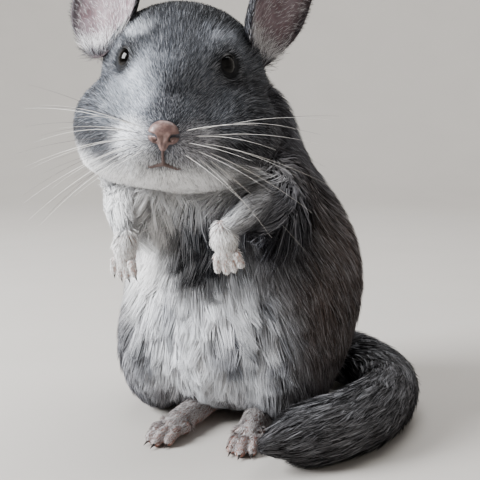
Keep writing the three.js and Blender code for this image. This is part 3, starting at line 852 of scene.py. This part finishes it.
ground = Ground(skin)
grown("coat_head", on_head_side, 16, HEAD_CENTRE)
grown("coat_body", lambda points: ~on_head_side(points), 40, TORSO_CENTRE)

# %% [markdown]
# ## Eyes and lids
#
# The eyes are large, dark and wet. Each is a fine ball, nearly black, with faint brown
# streaks. The lids are one soft ring round an almond opening: a flat grid is wrapped
# round twice, once about the eye and once about the lid's own thickness.

# %% Eyeballs
def turn_to(way):
    return Vector(way).to_track_quat("Z", "Y").to_matrix().to_4x4()


def in_head(points):
    return off_head(points) * MM


def eyeball(side):
    way = HEAD_TURN @ eye_way(side)
    place = Matrix.Translation(Vector(in_head(eye_centre(side))[0])) @ turn_to(way)

    def build(bm):
        radius = EYE_RADIUS * MM
        bmesh.ops.create_uvsphere(bm, u_segments=56, v_segments=40, radius=radius, matrix=place)

    return mesh_from(f"eyeball_{NAMES[side]}", build)


def smoothed(piece):
    for face in piece.data.polygons:
        face.use_smooth = True
    return piece


def set_on(piece, slot, paint, *nodes):
    """Material, slot (not used), body and the solids that a piece stands for."""
    smoothed(piece).data.materials.append(paint)
    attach(piece, "root")
    if nodes:
        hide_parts(*nodes)
    return piece


def eye_paint():
    paint = Paint("eye", Roughness=0.04, Specular_IOR_Level=0.16)
    streaks = paint.ease(paint.grain(0.7), 0.4, 0.7) * 0.6
    return paint.feed(Base_Color=paint.mix(streaks, rgba("#020202"), rgba("#0a0605")))


EYE_PAINT = eye_paint()
for side in (LEFT, RIGHT):
    set_on(eyeball(side), "eye", EYE_PAINT, f"eye_{NAMES[side]}")

# %% Lids
LID_IN, LID_OUT = 6.34, 6.8  # distances from the eyeball's middle
LID_BACK = 112  # degrees from the middle of the opening


def lid(side):
    """A grid of turns round the eye by steps round the lid's section, closed both ways."""
    turn = np.array(turn_to(HEAD_TURN @ eye_way(side)).to_3x3())
    centre = in_head(eye_centre(side))[0]

    def build(bm):
        bmesh.ops.create_grid(bm, x_segments=64, y_segments=24, size=0.5)
        for v in bm.verts:
            round_eye, section = (v.co.x + 0.5) * 2 * math.pi, (v.co.y + 0.5) * 2 * math.pi
            almond = 46 + 5.5 * math.cos(2 * round_eye) - 3 * math.sin(round_eye)
            back = (1 - math.cos(section)) / 2
            polar = math.radians(almond + (LID_BACK - almond) * back**1.4)
            thick = 0.5 + 0.5 * math.sin(section)
            radius = LID_IN + (LID_OUT - LID_IN) * thick + 0.25 * math.exp(-((back / 0.12) ** 2))
            flat = radius * math.sin(polar)
            around = (math.cos(round_eye) * flat, math.sin(round_eye) * flat)
            spot = np.array((*around, radius * math.cos(polar)))
            v.co = Vector(centre + turn @ spot * MM)
        bmesh.ops.remove_doubles(bm, verts=bm.verts, dist=1e-6)
        bmesh.ops.recalc_face_normals(bm, faces=bm.faces)

    return mesh_from(f"eyelids_{NAMES[side]}", build)


def lid_paint():
    paint = Paint("lid skin", Roughness=0.45, Specular_IOR_Level=0.4)
    grain = paint.grain(0.5)
    colour = paint.mix(grain, rgba("#0a0909"), rgba("#191616"))
    return paint.feed(Base_Color=colour, Normal=paint.bump(grain, 0.15))


LID_PAINT = lid_paint()
for side in (LEFT, RIGHT):
    set_on(lid(side), "fur_grey", LID_PAINT)

# %% [markdown]
# ## Nose and mouth
#
# The nose is bare, pink-brown and finely pebbled, with two comma-shaped nostrils. It is
# swollen from its own eggs, and the nostrils are eggs taken away, softly, so that their
# rims stay rounded. Below it a cleft runs down to the line of the mouth.

# %% Nose
NOSE_TIP = np.array((0, -36.5, -29), float)


def taken_away(form, hollows, softness=0.35):
    """A form with hollows cut softly out of it."""
    def outside(points):
        total = np.exp(form(points) / softness) + sum(np.exp(-h(points) / softness) for h in hollows)
        return softness * np.log(total)

    return outside


nose_form = taken_away(
    blend(
        [
            egg(NOSE_TIP + (0, 3.4, 1.2), (6.0, 4.2, 4.8)),
            *both(NOSE_TIP + (3.5, 3.1, -0.6), (3.0, 3.9, 3.3)),
            egg(NOSE_TIP + (0, 3.6, -3.6), (2.2, 3.4, 3.6)),
        ],
        0.7,
    ),
    [
        *both(NOSE_TIP + (3.4, 0.3, -1.2), (0.85, 2.2, 1.7), 0, 34),
        *both(NOSE_TIP + (5.4, 1.2, -0.2), (1.6, 2.2, 0.55), 0, -14),
        tube([NOSE_TIP + (0, -0.5, -0.5), NOSE_TIP + (0, 0.3, -7)], (0.25, 0.4)),
    ],
)
nose = swell("nose", lambda p: nose_form(on_head(p)), off_head(NOSE_TIP + (0, 4.2, -0.5))[0], reach=12)


def nose_paint():
    paint = Paint("nose skin", Roughness=0.42, Specular_IOR_Level=0.45, Coat_Weight=0.15)
    pebbles = paint.pebbles(1900)
    blotch = paint.grain(2.2)
    colour = paint.mix(paint.ease(blotch, 0.35, 0.65), rgba("#59423e"), rgba("#7b615b"))
    return paint.feed(Base_Color=colour, Normal=paint.bump(pebbles, 0.12, 0.5))


NOSE_PAINT = nose_paint()
set_on(nose, "foot_skin", NOSE_PAINT)

# %% Lips
MOUTH = [(-10, -23, -42), (-5.5, -27.8, -42.7), (0, -30, -41.2), (5.5, -27.8, -42.7), (10, -23, -42)]
CLEFT = [(0, -34.6, -34), (0, -34.2, -36.5), (0, -32.6, -39), (0, -30, -41)]


def on_body(spots):
    return [tuple(p) for p in off_head(np.array(spots, float))]


mouth = beads("mouth", on_body(MOUTH), (0.6, 1.05, 1.1, 1.05, 0.6), 0.4)
cleft = beads("cleft", on_body(CLEFT), (0.7, 0.6, 0.6, 0.9), 0.4)
lips = one_skin(joined("lips", [mouth, cleft]), voxel=0.25, rounds=2)
lip_paint = Paint("lip skin", Roughness=0.5)
lip_colour = lip_paint.mix(lip_paint.grain(1.0), rgba("#3d2d2a"), rgba("#5a443f"))
set_on(lips, "foot_skin", lip_paint.feed(Base_Color=lip_colour))

# %% [markdown]
# ## Ears
#
# A chinchilla's ears are large, round and thin, and nearly bare. A ball is pressed into a
# leaf: one half becomes the inside of the ear, the other the outside. The rim rolls
# forward, and shallow folds run up from the foot as they do over real gristle.

# %% The leaf of an ear
EAR_HALF, EAR_HALF_WIDE, EAR_CUP, EAR_THICK = 28, 21.3, 8.5, 0.75
EARS = {  # how each is turned, and its middle on the head
    RIGHT: (turned(-38, -13, -17), np.array((-37.5, 22, 25.5))),
    LEFT: (turned(58, 15, 18), np.array((42, 23, 27.5))),
}


EAR_TURNS, EAR_RINGS = 96, 64


def ball(bm):
    """A ball of rings, whose faces come in the same order each time, so that its tufts do too."""
    rows = [[bm.verts.new((0, 0, 1))]]
    angles = [2 * math.pi * k / EAR_TURNS for k in range(EAR_TURNS)]
    for ring in range(1, EAR_RINGS):
        polar = math.pi * ring / EAR_RINGS
        flat, height = math.sin(polar), math.cos(polar)
        rows.append([bm.verts.new((flat * math.cos(a), flat * math.sin(a), height)) for a in angles])
    rows.append([bm.verts.new((0, 0, -1))])
    for upper, lower in zip(rows, rows[1:]):
        for k in range(EAR_TURNS):
            square = [upper[k % len(upper)], lower[k % len(lower)]]
            square += [lower[(k + 1) % len(lower)], upper[(k + 1) % len(upper)]]
            bm.faces.new(list(dict.fromkeys(square)))


def ear(side):
    turn, centre = EARS[side]
    piece = mesh_from(f"ear_skin_{NAMES[side]}", ball)
    p = unit(places(piece.data))
    polar, around = np.arccos(np.clip(p[:, 2], -1, 1)), np.arctan2(p[:, 1], p[:, 0])
    behind = polar < math.pi / 2
    out = np.where(behind, polar, math.pi - polar) / (math.pi / 2)
    across, up = -np.cos(around) * out, np.sin(around) * out
    narrow = np.where(up < 0, 1 - 0.42 * up**2, 1 - 0.08 * up**2)
    thick = EAR_THICK * np.sqrt(1 - out**8) + 0.15 * (1 - out**6)
    hollow = EAR_CUP * (1 - out**2.4) - 3 * up**2
    fold = 0.9 * np.sin(across * 7 + 0.8 * up) * smooth(0.95, 0.5, out) * smooth(0.7, -0.3, up)
    rim = -1.1 * smooth(0.86, 1.0, out) * smooth(-0.6, 0.1, up)
    wave = 0.35 * np.sin(5 * around + side) * smooth(0.6, 1.0, out)
    depth = hollow + fold + rim + wave + np.where(behind, thick, -thick)
    leaf = np.stack([across * narrow * EAR_HALF_WIDE, depth, up * EAR_HALF], axis=1)
    put_places(piece.data, off_head(leaf @ turn.T + centre) * MM)
    facts = np.stack([out, up, behind.astype(float)], axis=1)
    store(piece.data, "Leaf", "FLOAT_VECTOR", facts)
    bm = bmesh.new()
    bm.from_mesh(piece.data)
    bmesh.ops.recalc_face_normals(bm, faces=bm.faces)
    bm.to_mesh(piece.data)
    bm.free()
    return piece


def ear_paint():
    paint = Paint("ear skin", Roughness=0.6, Specular_IOR_Level=0.25)
    out, up, behind = paint.parts(paint.stored("Leaf"))
    blotch = paint.grain(5.0)
    veins = paint.grain(6.25, detail=6.0, twist=2.5)
    inside = paint.mix(paint.ease(blotch, 0.3, 0.7), rgba("#655459"), rgba("#82747a"))
    from_vein = paint.node("ShaderNodeMath", {"operation": "ABSOLUTE"}, {0: veins - 0.5})
    vein_line = (1 - paint.ease(from_vein, 0.0, 0.035)) * 0.35
    inside = paint.mix(vein_line, inside, rgba("#8c6668"))
    inside = paint.mix(paint.ease(out, 0.72, 0.98) * 0.75, inside, rgba("#2f2b2e"))
    inside = paint.mix(paint.ease(up, -0.2, -0.9) * 0.7, inside, rgba("#4c3f42"))
    colour = paint.mix(behind, inside, rgba("#26252a"))
    return paint.feed(Base_Color=colour, Normal=paint.bump(paint.grain(1.2), 0.2))


EAR_PAINT = ear_paint()
ears = {side: set_on(ear(side), "ear_skin", EAR_PAINT, f"ear_{NAMES[side]}") for side in (LEFT, RIGHT)}
print("ear faces:", len(ears[LEFT].data.polygons))

# %% Down on the ears
EAR_DOWN = 3.4  # tufts per square millimetre, before the inside is thinned


def ear_coat(side):
    """Sparse pale down inside the ear, and a close dark coat on its back."""
    turn, centre = EARS[side]
    roots, normals = Ground(ears[side]).scatter(lambda p: np.full(len(p), EAR_DOWN))
    local = (on_head(roots) - centre) @ turn
    across, up = local[:, 0] / EAR_HALF_WIDE, local[:, 2] / EAR_HALF
    out = np.hypot(across, up)
    inside = (on_head(roots + normals) - on_head(roots)) @ turn[:, 1] < 0
    foot = smooth(-0.25, -0.85, up)
    thinned = 0.16 + 0.5 * smooth(0.8, 1, out) + 0.5 * foot
    kept = chance.random(len(roots)) < np.where(inside, thinned, 0.9)
    roots, normals, inside, out, foot = (a[kept] for a in (roots, normals, inside, out, foot))
    level = np.zeros(len(roots))
    ways = np.stack([local[kept, 0] * 0.06, level, level + 1], axis=1)
    ways = unit(off_head(ways @ turn.T) - off_head((0, 0, 0)))
    length = np.where(inside, 2.6, 2.8) + 5.0 * foot
    tufts = paths(roots, normals, ways, length, length * np.where(inside, 0.28, 0.22), ragged=0.3)
    pale, dark = linear("#dfdcdd"), linear("#2b2a30")
    colour = np.where((inside & (out < 0.9))[:, None], pale, dark)
    colour = colour + foot[:, None] * (linear("#55555c") - colour) * ~inside[:, None]
    colour = np.column_stack([colour, np.where(inside, 0.1, 0.8)])
    facts = (np.where(inside, 0.13, 0.3), colour, chance.random(len(roots)))
    spread = (local[kept, 0], local[kept, 2])
    coat(f"coat_ear_{NAMES[side]}", tufts, normals, *facts, *spread, FUR, "fur_grey")


for side in (LEFT, RIGHT):
    ear_coat(side)

# %% [markdown]
# ## Hands and feet
#
# The hands have four plump fingers and the long hind feet four toes, bare and pink-brown
# beneath with short pale hair on top. Tubes of beads are merged by a fine remesh, which
# leaves soft webs between them. The claws are dark, and pieces of their own.

# %% Claws
def claw(bm, tip, way, radius, length):
    """A cone from inside the toe to its point, cut across so that it shades evenly."""
    place = Matrix.Translation(Vector(tip) * MM) @ turn_to(way)
    ends = {"radius1": radius * MM, "radius2": 0.08 * MM, "depth": length * MM}
    cone = bmesh.ops.create_cone(bm, cap_ends=True, segments=10, matrix=place, **ends)
    axis = place.col[2].xyz

    def lengthwise(edge):
        a, b = edge.verts
        return abs((a.co - b.co).dot(axis)) > length * MM * 0.5

    edges = {e for v in cone["verts"] for e in v.link_edges if lengthwise(e)}
    bmesh.ops.subdivide_edges(bm, edges=list(edges), cuts=3, use_grid_fill=False)


def claws(name, tips):
    def build(bm):
        for tip, way, radius, length in tips:
            claw(bm, tip, way, radius, length)

    return mesh_from(name, build)


CLAW_PAINT = Paint("claw horn", Roughness=0.3, Specular_IOR_Level=0.5)
CLAW_PAINT.feed(Base_Color=CLAW_PAINT.mix(CLAW_PAINT.grain(1.5), rgba("#171312"), rgba("#2e2521")))


def foot_paint(name, dark, light):
    paint = Paint(name, Roughness=0.6, Specular_IOR_Level=0.3)
    creases = paint.pebbles(900)
    colour = paint.mix(paint.ease(paint.grain(3.5), 0.35, 0.65), rgba(dark), rgba(light))
    colour = paint.mix(paint.ease(creases, 0.45, 0.1) * 0.25, colour, rgba("#6d4f49"))
    return paint.feed(Base_Color=colour, Normal=paint.bump(creases, 0.25))


FOOT_PAINT = foot_paint("foot skin", "#8a6156", "#a97f73")
HAND_PAINT = foot_paint("hand skin", "#b8968c", "#cdb0a8")

# %% Hands
HANDS = {  # the palm's middle, and how it is turned
    RIGHT: (np.array((-25.5, -60, 90)), turned(-6, 8, 4)),
    LEFT: (np.array((19, -57, 94.5)), turned(10, 10, -12)),
}
PALM = [(0, 1.8, 6.0), (0, 0.8, 4.0), (0, 0, 0), (0, -0.5, -7)]
FINGERS = 4
CLAW_AHEAD, FINGER_CLAW = 2.4, (0.8, 4.4)  # the claw's middle past the tip, its radius and length


def finger(number):
    aside = (number - (FINGERS - 1) / 2) * 2.7
    drop = 13.2 - abs(number - 1.4) * 1.3
    root, knuckle = (aside * 0.7, -0.6, -5), (aside * 1.05, -2.5, -drop + 4.5)
    return [root, knuckle, (aside * 1.25, -2.4, -drop)]


def hand(side):
    place, turn = HANDS[side]

    def moved(spots):
        return [tuple(p) for p in np.array(spots, float) @ turn.T + place]

    pieces = [beads("palm", moved(PALM), (2.0, 3.2, 4.8, 4.0), 0.8)]
    tips = []
    for number in range(FINGERS):
        spots = moved(finger(number))
        pieces.append(beads("finger", spots, (1.7, 1.75, 1.55), 0.5))
        way = unit(np.array([np.subtract(spots[2], spots[1])]))[0] + turn @ np.array((0, 0.25, 0))
        tips.append((np.array(spots[2]) + way * CLAW_AHEAD, way, *FINGER_CLAW))
    made = one_skin(joined(f"hand_{NAMES[side]}", pieces), voxel=0.38, rounds=2)
    set_on(claws(f"claws_hand_{NAMES[side]}", tips), "eye", CLAW_PAINT.material)
    return set_on(made, "foot_skin", HAND_PAINT, f"forepaw_{NAMES[side]}")


hands = {side: hand(side) for side in (LEFT, RIGHT)}

# %% Hind feet
FEET = {  # the place, how it is turned, and which way its toes are counted
    RIGHT: (np.array((-8, -20, 0)), turned(-7), 1),
    LEFT: (np.array((22, -19, 0)), turned(8), -1),
}
SOLE = 3.6
TOES = [  # aside, start, end and width
    (-6.6, 21, 31, 1.7),
    (-3.8, 24, 38, 2.3),
    (0.6, 24, 40.5, 2.5),
    (4.9, 23, 37.5, 2.3),
]
FOOT_JOINTS, FOOT_WIDTHS = [(0, 14, 6), (0, -4, 5.2), (0, -18, 4.6), (0, -25, 4)], (5.4, 5.6, 5.2, 4.3)
BALL_JOINTS, BALL_WIDTHS = [(-4, -22, 3.6), (4, -22, 3.6)], (3.4, 3.4)


def hind_foot(side):
    place, turn, mirror = FEET[side]

    def moved(spots):
        return [tuple(p) for p in (np.array(spots, float) * (mirror, 1, 1)) @ turn.T + place]

    pieces = [beads("foot", moved(FOOT_JOINTS), FOOT_WIDTHS, 1)]
    pieces += [beads("ball", moved(BALL_JOINTS), BALL_WIDTHS, 1)]
    tips = []
    for aside, start, end, width in TOES:
        knuckle = (aside, -(start + end) / 2 - 2, SOLE + 0.4)
        spots = moved([(aside * 0.75, -start, SOLE), knuckle, (aside * 1.08, -end, 2.4)])
        pieces.append(beads("toe", spots, (width, width, width * 0.92), 0.6))
        way = unit(np.array([np.subtract(spots[2], spots[1])]))[0]
        tips.append((np.array(spots[2]) + way * (width * 0.8 + 1), way, width * 0.4, 5.4))
    made = one_skin(joined(f"foot_{NAMES[side]}", pieces), voxel=0.55, rounds=2)
    flat = places(made.data)
    flat[:, 2] = np.maximum(flat[:, 2], 0.0)
    put_places(made.data, flat)
    set_on(claws(f"claws_foot_{NAMES[side]}", tips), "eye", CLAW_PAINT.material)
    return set_on(made, "foot_skin", FOOT_PAINT, f"hind_foot_{NAMES[side]}")


feet = {side: hind_foot(side) for side in (LEFT, RIGHT)}
print("foot faces:", len(feet[LEFT].data.polygons))

# %% Short hair on hands and feet
SHORT_DENSITY, SHORT_WIDTH, BORDER = 5.0, 0.26, 0.35  # the border is ragged by this much


def short_coat(name, piece, ways, upper, length, colour):
    """Hair on the side of a hand or foot that upper points to."""
    roots, normals = Ground(piece).scatter(lambda p: np.full(len(p), SHORT_DENSITY))
    kept = normals @ upper > chance.uniform(-BORDER, BORDER, len(roots))
    roots, normals = roots[kept], normals[kept]
    lengths = length(roots)
    tufts = paths(roots, normals, np.tile(ways, (len(roots), 1)), lengths, lengths * 0.3, ragged=0.2)
    colours = np.tile([*linear(colour), 0.0], (len(roots), 1))
    facts = (np.full(len(roots), SHORT_WIDTH), colours, chance.random(len(roots)))
    coat(name, tufts, normals, *facts, roots[:, 0], roots[:, 1] + roots[:, 2], FUR, "fur_pale")


def hand_coat(side):
    place, turn = HANDS[side]

    def length(points):
        return 1.4 + 3.2 * smooth(-8, 6, (points - place) @ turn[:, 2])

    ways = (turn @ (0, -0.1, -1), turn @ (0, -1, 0.2))
    short_coat(f"coat_hand_{NAMES[side]}", hands[side], *ways, length, "#f2f0ee")


def foot_coat(side):
    place, turn, _ = FEET[side]

    def length(points):
        return 1.4 + 3.4 * smooth(-44, -10, (points - place) @ turn[:, 1])

    ways = (turn @ (0, -1, -0.1), np.array((0, -0.1, 1)))
    short_coat(f"coat_foot_{NAMES[side]}", feet[side], *ways, length, "#bdb6b4")


for side in (LEFT, RIGHT):
    hand_coat(side)
    foot_coat(side)

# %% [markdown]
# ## Tail
#
# The tail is a slim core under long, coarse hair, dark with pale tips. The core follows a
# smooth curve through a few points on the floor, and the hair leans back along it.

# %% The tail's way
TAIL_LEVEL = 12.5  # of its middle, over the floor
TAIL_WAY = np.array(
    [
        (12, 46, 22),
        (44, 60, 15),
        (70, 36, TAIL_LEVEL),
        (77, 0, TAIL_LEVEL),
        (71, -32, TAIL_LEVEL),
        (55, -56, TAIL_LEVEL),
    ]
)
TAIL_CORE, TAIL_COAT, TAIL_TIPS, TAIL_END = 6.5, 17.0, 15.5, 22
TAIL_STEPS = 40


def smooth_way(spots, steps):
    """A Catmull-Rom curve through spots, at even shares."""
    ends = np.vstack([2 * spots[0] - spots[1], spots, 2 * spots[-1] - spots[-2]])
    made = []
    for share in np.linspace(0, len(spots) - 1, steps + 1):
        k = min(int(share), len(spots) - 2)
        t, (a, b, c, d) = share - k, ends[k : k + 4]
        bend, twist = 2 * a - 5 * b + 4 * c - d, 3 * b - a - 3 * c + d
        made.append(0.5 * (2 * b + (c - a) * t + bend * t**2 + twist * t**3))
    return np.array(made)


way = smooth_way(TAIL_WAY, TAIL_STEPS)
shares = np.linspace(0, 1, TAIL_STEPS + 1)
core_widths = TAIL_CORE * (1.25 - 0.45 * shares) * np.sqrt(1 - 0.85 * shares**10)
tail = one_skin(beads("tail", [tuple(p) for p in way], tuple(core_widths), 2.0), voxel=1.1)
tail = set_on(tail, "fur_tail", skin.data.materials[0], "tail_root", "tail_middle", "tail_tip")


def tail_markings(points, share):
    grey, dark = linear("#302e31"), linear("#121113")
    colour = grey + smooth(0.0, 0.3, share)[:, None] * (dark - grey)
    colour *= 1 + 0.25 * ripple(points, 6, 3)[:, None]
    return np.column_stack([np.clip(colour, 0, 1), 0.25 + 0.35 * smooth(0.1, 0.5, share)])


def along_tail(points):
    """The nearest step of the tail's way to each point, as a share."""
    gaps = np.linalg.norm(points[:, None] - way[None], axis=2)
    return gaps.argmin(axis=1) / TAIL_STEPS


skin_spots = places(tail.data) / MM
store(tail.data, "Marking", "FLOAT_COLOR", tail_markings(skin_spots, along_tail(skin_spots)))

# %% Hair of the tail
TAIL_DENSITY = 4.2
roots, normals = Ground(tail).scatter(lambda p: np.full(len(p), TAIL_DENSITY))
share = along_tail(roots)
step = (share * TAIL_STEPS).astype(int)
ahead = unit(np.gradient(way, axis=0))[step]
length = 20 + 13 * smooth(0.0, 0.4, share)
width_here = TAIL_COAT - 2.5 * smooth(0.25, 0.0, share)
last_tip = way[-1] + TAIL_END * unit(way[-1:] - way[-2:-1])[0]
tail_outline = tube(np.vstack([way, last_tip]), np.append(np.full(len(way), TAIL_TIPS), 4))
depth = width_here - core_widths[step]
tufts = paths(roots, normals, ahead, length, depth, tail_outline, stray=1.5, ragged=0.22)
tufts, guide = clump(tufts, np.full(len(roots), 0.45), one_in=24)
tone = 0.5 * chance.random(guide.max() + 1)[guide] + 0.5 * chance.random(len(roots))
facts = (0.3 + 0.012 * length, tail_markings(roots, share), tone)
coat("coat_tail", tufts, normals, *facts, share, normals[:, 2], TAIL_FUR, "fur_tail")

# %% [markdown]
# ## Whiskers
#
# Long whiskers fan from both sides of the muzzle, pale and dark mixed. Each is a curve
# with a fine bevel that thins to its end, turned into a mesh because the export takes
# meshes only.

# %% Whiskers
WHISKERS = 26  # on each side
WHISKER_REACH = 60
WHISKER_ROWS, WHISKER_JOINTS = 5, 12
chance = np.random.default_rng(2)  # a seed of their own keeps them alike whatever the coat draws


def whisker_curve(side, number):
    row, column = number % WHISKER_ROWS, number // WHISKER_ROWS
    aside = 9 + 1.5 * column + chance.uniform(-0.5, 0.5)
    root = np.array((side * aside, -33 + 2.2 * column, -27 - 2.4 * row))
    rise = 0.35 - 0.22 * row + chance.uniform(-0.1, 0.1)
    way = unit(np.array([(side * 1.0, -0.36 + 0.16 * column, rise)]))[0]
    long = WHISKER_REACH * (0.55 + 0.11 * column) * chance.uniform(0.85, 1.0)
    sag = chance.uniform(0.12, 0.3) * long
    t = np.linspace(0, 1, WHISKER_JOINTS)[:, None]
    return off_head(root + way * long * t + np.array((0, 0.12 * long, -sag)) * t**2), t[:, 0]


def whiskers(name, numbers, radius, paint):
    data = bpy.data.curves.new(name, "CURVE")
    data.dimensions, data.bevel_depth, data.bevel_resolution = "3D", radius * MM, 0
    for side in (LEFT, RIGHT):
        for number in numbers:
            spots, t = whisker_curve(side, number)
            line = data.splines.new("POLY")
            line.points.add(len(spots) - 1)
            for point, spot, thin in zip(line.points, spots, 1 - 0.85 * t):
                point.co, point.radius = (*(spot * MM), 1), thin
    curve = bpy.data.objects.new(name, data)
    bpy.context.collection.objects.link(curve)
    mesh = bpy.data.meshes.new_from_object(curve)
    bpy.data.objects.remove(curve)
    made = bpy.data.objects.new(name, mesh)
    bpy.context.collection.objects.link(made)
    made.data.materials.clear()
    return set_on(made, "fur_pale", paint)


def whisker_paint(name, colour, root):
    paint = Paint(name, Roughness=0.35, Specular_IOR_Level=0.4)
    spots = paint.ease(paint.grain(30), 0.4, 0.6)
    return paint.feed(Base_Color=paint.mix(spots, rgba(root), rgba(colour)))


PALE = whisker_paint("pale whisker", "#f4f2ef", "#dcd8d2")
whiskers("whiskers_pale", range(0, WHISKERS, 2), 0.13, PALE)
DARK = whisker_paint("dark whisker", "#2a2729", "#4a4648")
whiskers("whiskers_dark", range(1, WHISKERS, 2), 0.12, DARK)

# %% [markdown]
# ## Floor, light and camera
#
# A plain pale floor bends up into a round wall, and four soft lamps light it, as in a
# studio. The main one is large and stands to the animal's right, which is the left of the
# picture, so that side is bright and the other falls into soft shade.

# %% Floor
FLOOR_RADIUS, BEND, WALL_TOP, BEND_STEPS = 0.9, 0.6, 1.7, 12  # metres, and a count


def studio(bm):
    """A floor that bends up into a round wall, so that no edge shows behind the animal."""
    spots = [(0, 0, 0), (FLOOR_RADIUS, 0, 0)]
    for step in range(1, BEND_STEPS + 1):
        angle = math.pi / 2 * step / BEND_STEPS
        spots.append((FLOOR_RADIUS + BEND * math.sin(angle), 0, BEND * (1 - math.cos(angle))))
    spots.append((FLOOR_RADIUS + BEND, 0, WALL_TOP))
    verts = [bm.verts.new(spot) for spot in spots]
    edges = [bm.edges.new(pair) for pair in zip(verts, verts[1:])]
    bmesh.ops.spin(bm, geom=edges, cent=(0, 0, 0), axis=(0, 0, 1), angle=2 * math.pi, steps=96)
    bmesh.ops.remove_doubles(bm, verts=bm.verts, dist=1e-5)
    bmesh.ops.recalc_face_normals(bm, faces=bm.faces)
    bmesh.ops.reverse_faces(bm, faces=bm.faces)


floor = smoothed(mesh_from("floor", studio))
floor_paint = Paint("pale floor", Roughness=0.8)
floor_colour = floor_paint.mix(floor_paint.grain(60), rgba("#a8a49f"), rgba("#aeaaa5"))
floor.data.materials.append(floor_paint.feed(Base_Color=floor_colour))

# %% Lamps
def lamp(name, place, size, power, colour=(1, 1, 1), aim=(0, -20, 110)):
    """A square lamp: its place and aim in millimetres, its size in metres, its power in watts."""
    data = bpy.data.lights.new(name, "AREA")
    data.size, data.energy, data.color = size, power, colour
    made = bpy.data.objects.new(name, data)
    bpy.context.collection.objects.link(made)
    made.location = Vector(place) * MM
    way = (Vector(aim) - Vector(place)) * MM
    made.rotation_euler = way.to_track_quat("-Z", "Y").to_euler()


lamp("key lamp", (-700, -480, 560), 0.5, 38, (0.97, 0.985, 1.0))
lamp("fill lamp", (620, -700, 420), 1.0, 0.8, (1.0, 0.96, 0.92))
lamp("top lamp", (60, 260, 900), 0.9, 4)
lamp("backdrop lamp", (0, 300, 1300), 1.0, 20, aim=(-450, 1300, 300))
world = bpy.data.worlds.new("studio")
world.use_nodes = True
sky = world.node_tree.nodes["Background"].inputs
sky["Color"].default_value = (0.80, 0.80, 0.80, 1)
sky["Strength"].default_value = 0.18
bpy.context.scene.world = world

# %% [markdown]
# The camera stands a little to the animal's left and looks slightly down. It is placed
# from what it should see: the point midway between the eyes falls high in the picture, so
# that the ears' tips are cut off as they are in the photograph.

# %% Camera
AZIMUTH, ELEVATION = math.radians(20), math.radians(9)
DISTANCE, FRAME_SIZE = 410, 480  # millimetres, pixels
LENS, SENSOR = 71, 36
EYES_IN_PICTURE = (178, 63.5)  # pixels from the left and the top

level = math.cos(ELEVATION)
back = Vector((math.sin(AZIMUTH) * level, -math.cos(AZIMUTH) * level, math.sin(ELEVATION)))
turn = (-back).to_track_quat("-Z", "Y")
pixel = DISTANCE * SENSOR / LENS / FRAME_SIZE
aside = turn @ Vector((1, 0, 0)) * (FRAME_SIZE / 2 - EYES_IN_PICTURE[0]) * pixel
down = turn @ Vector((0, -1, 0)) * (FRAME_SIZE / 2 - EYES_IN_PICTURE[1]) * pixel
camera_data = bpy.data.cameras.new("camera")
camera_data.lens, camera_data.sensor_width = LENS, SENSOR
camera = bpy.data.objects.new("camera", camera_data)
bpy.context.collection.objects.link(camera)
camera.location = (Vector(HEAD_AT) + aside + down + back * DISTANCE) * MM
camera.rotation_euler = turn.to_euler()
bpy.context.scene.camera = camera
print("camera height", round(camera.location.z, 3))
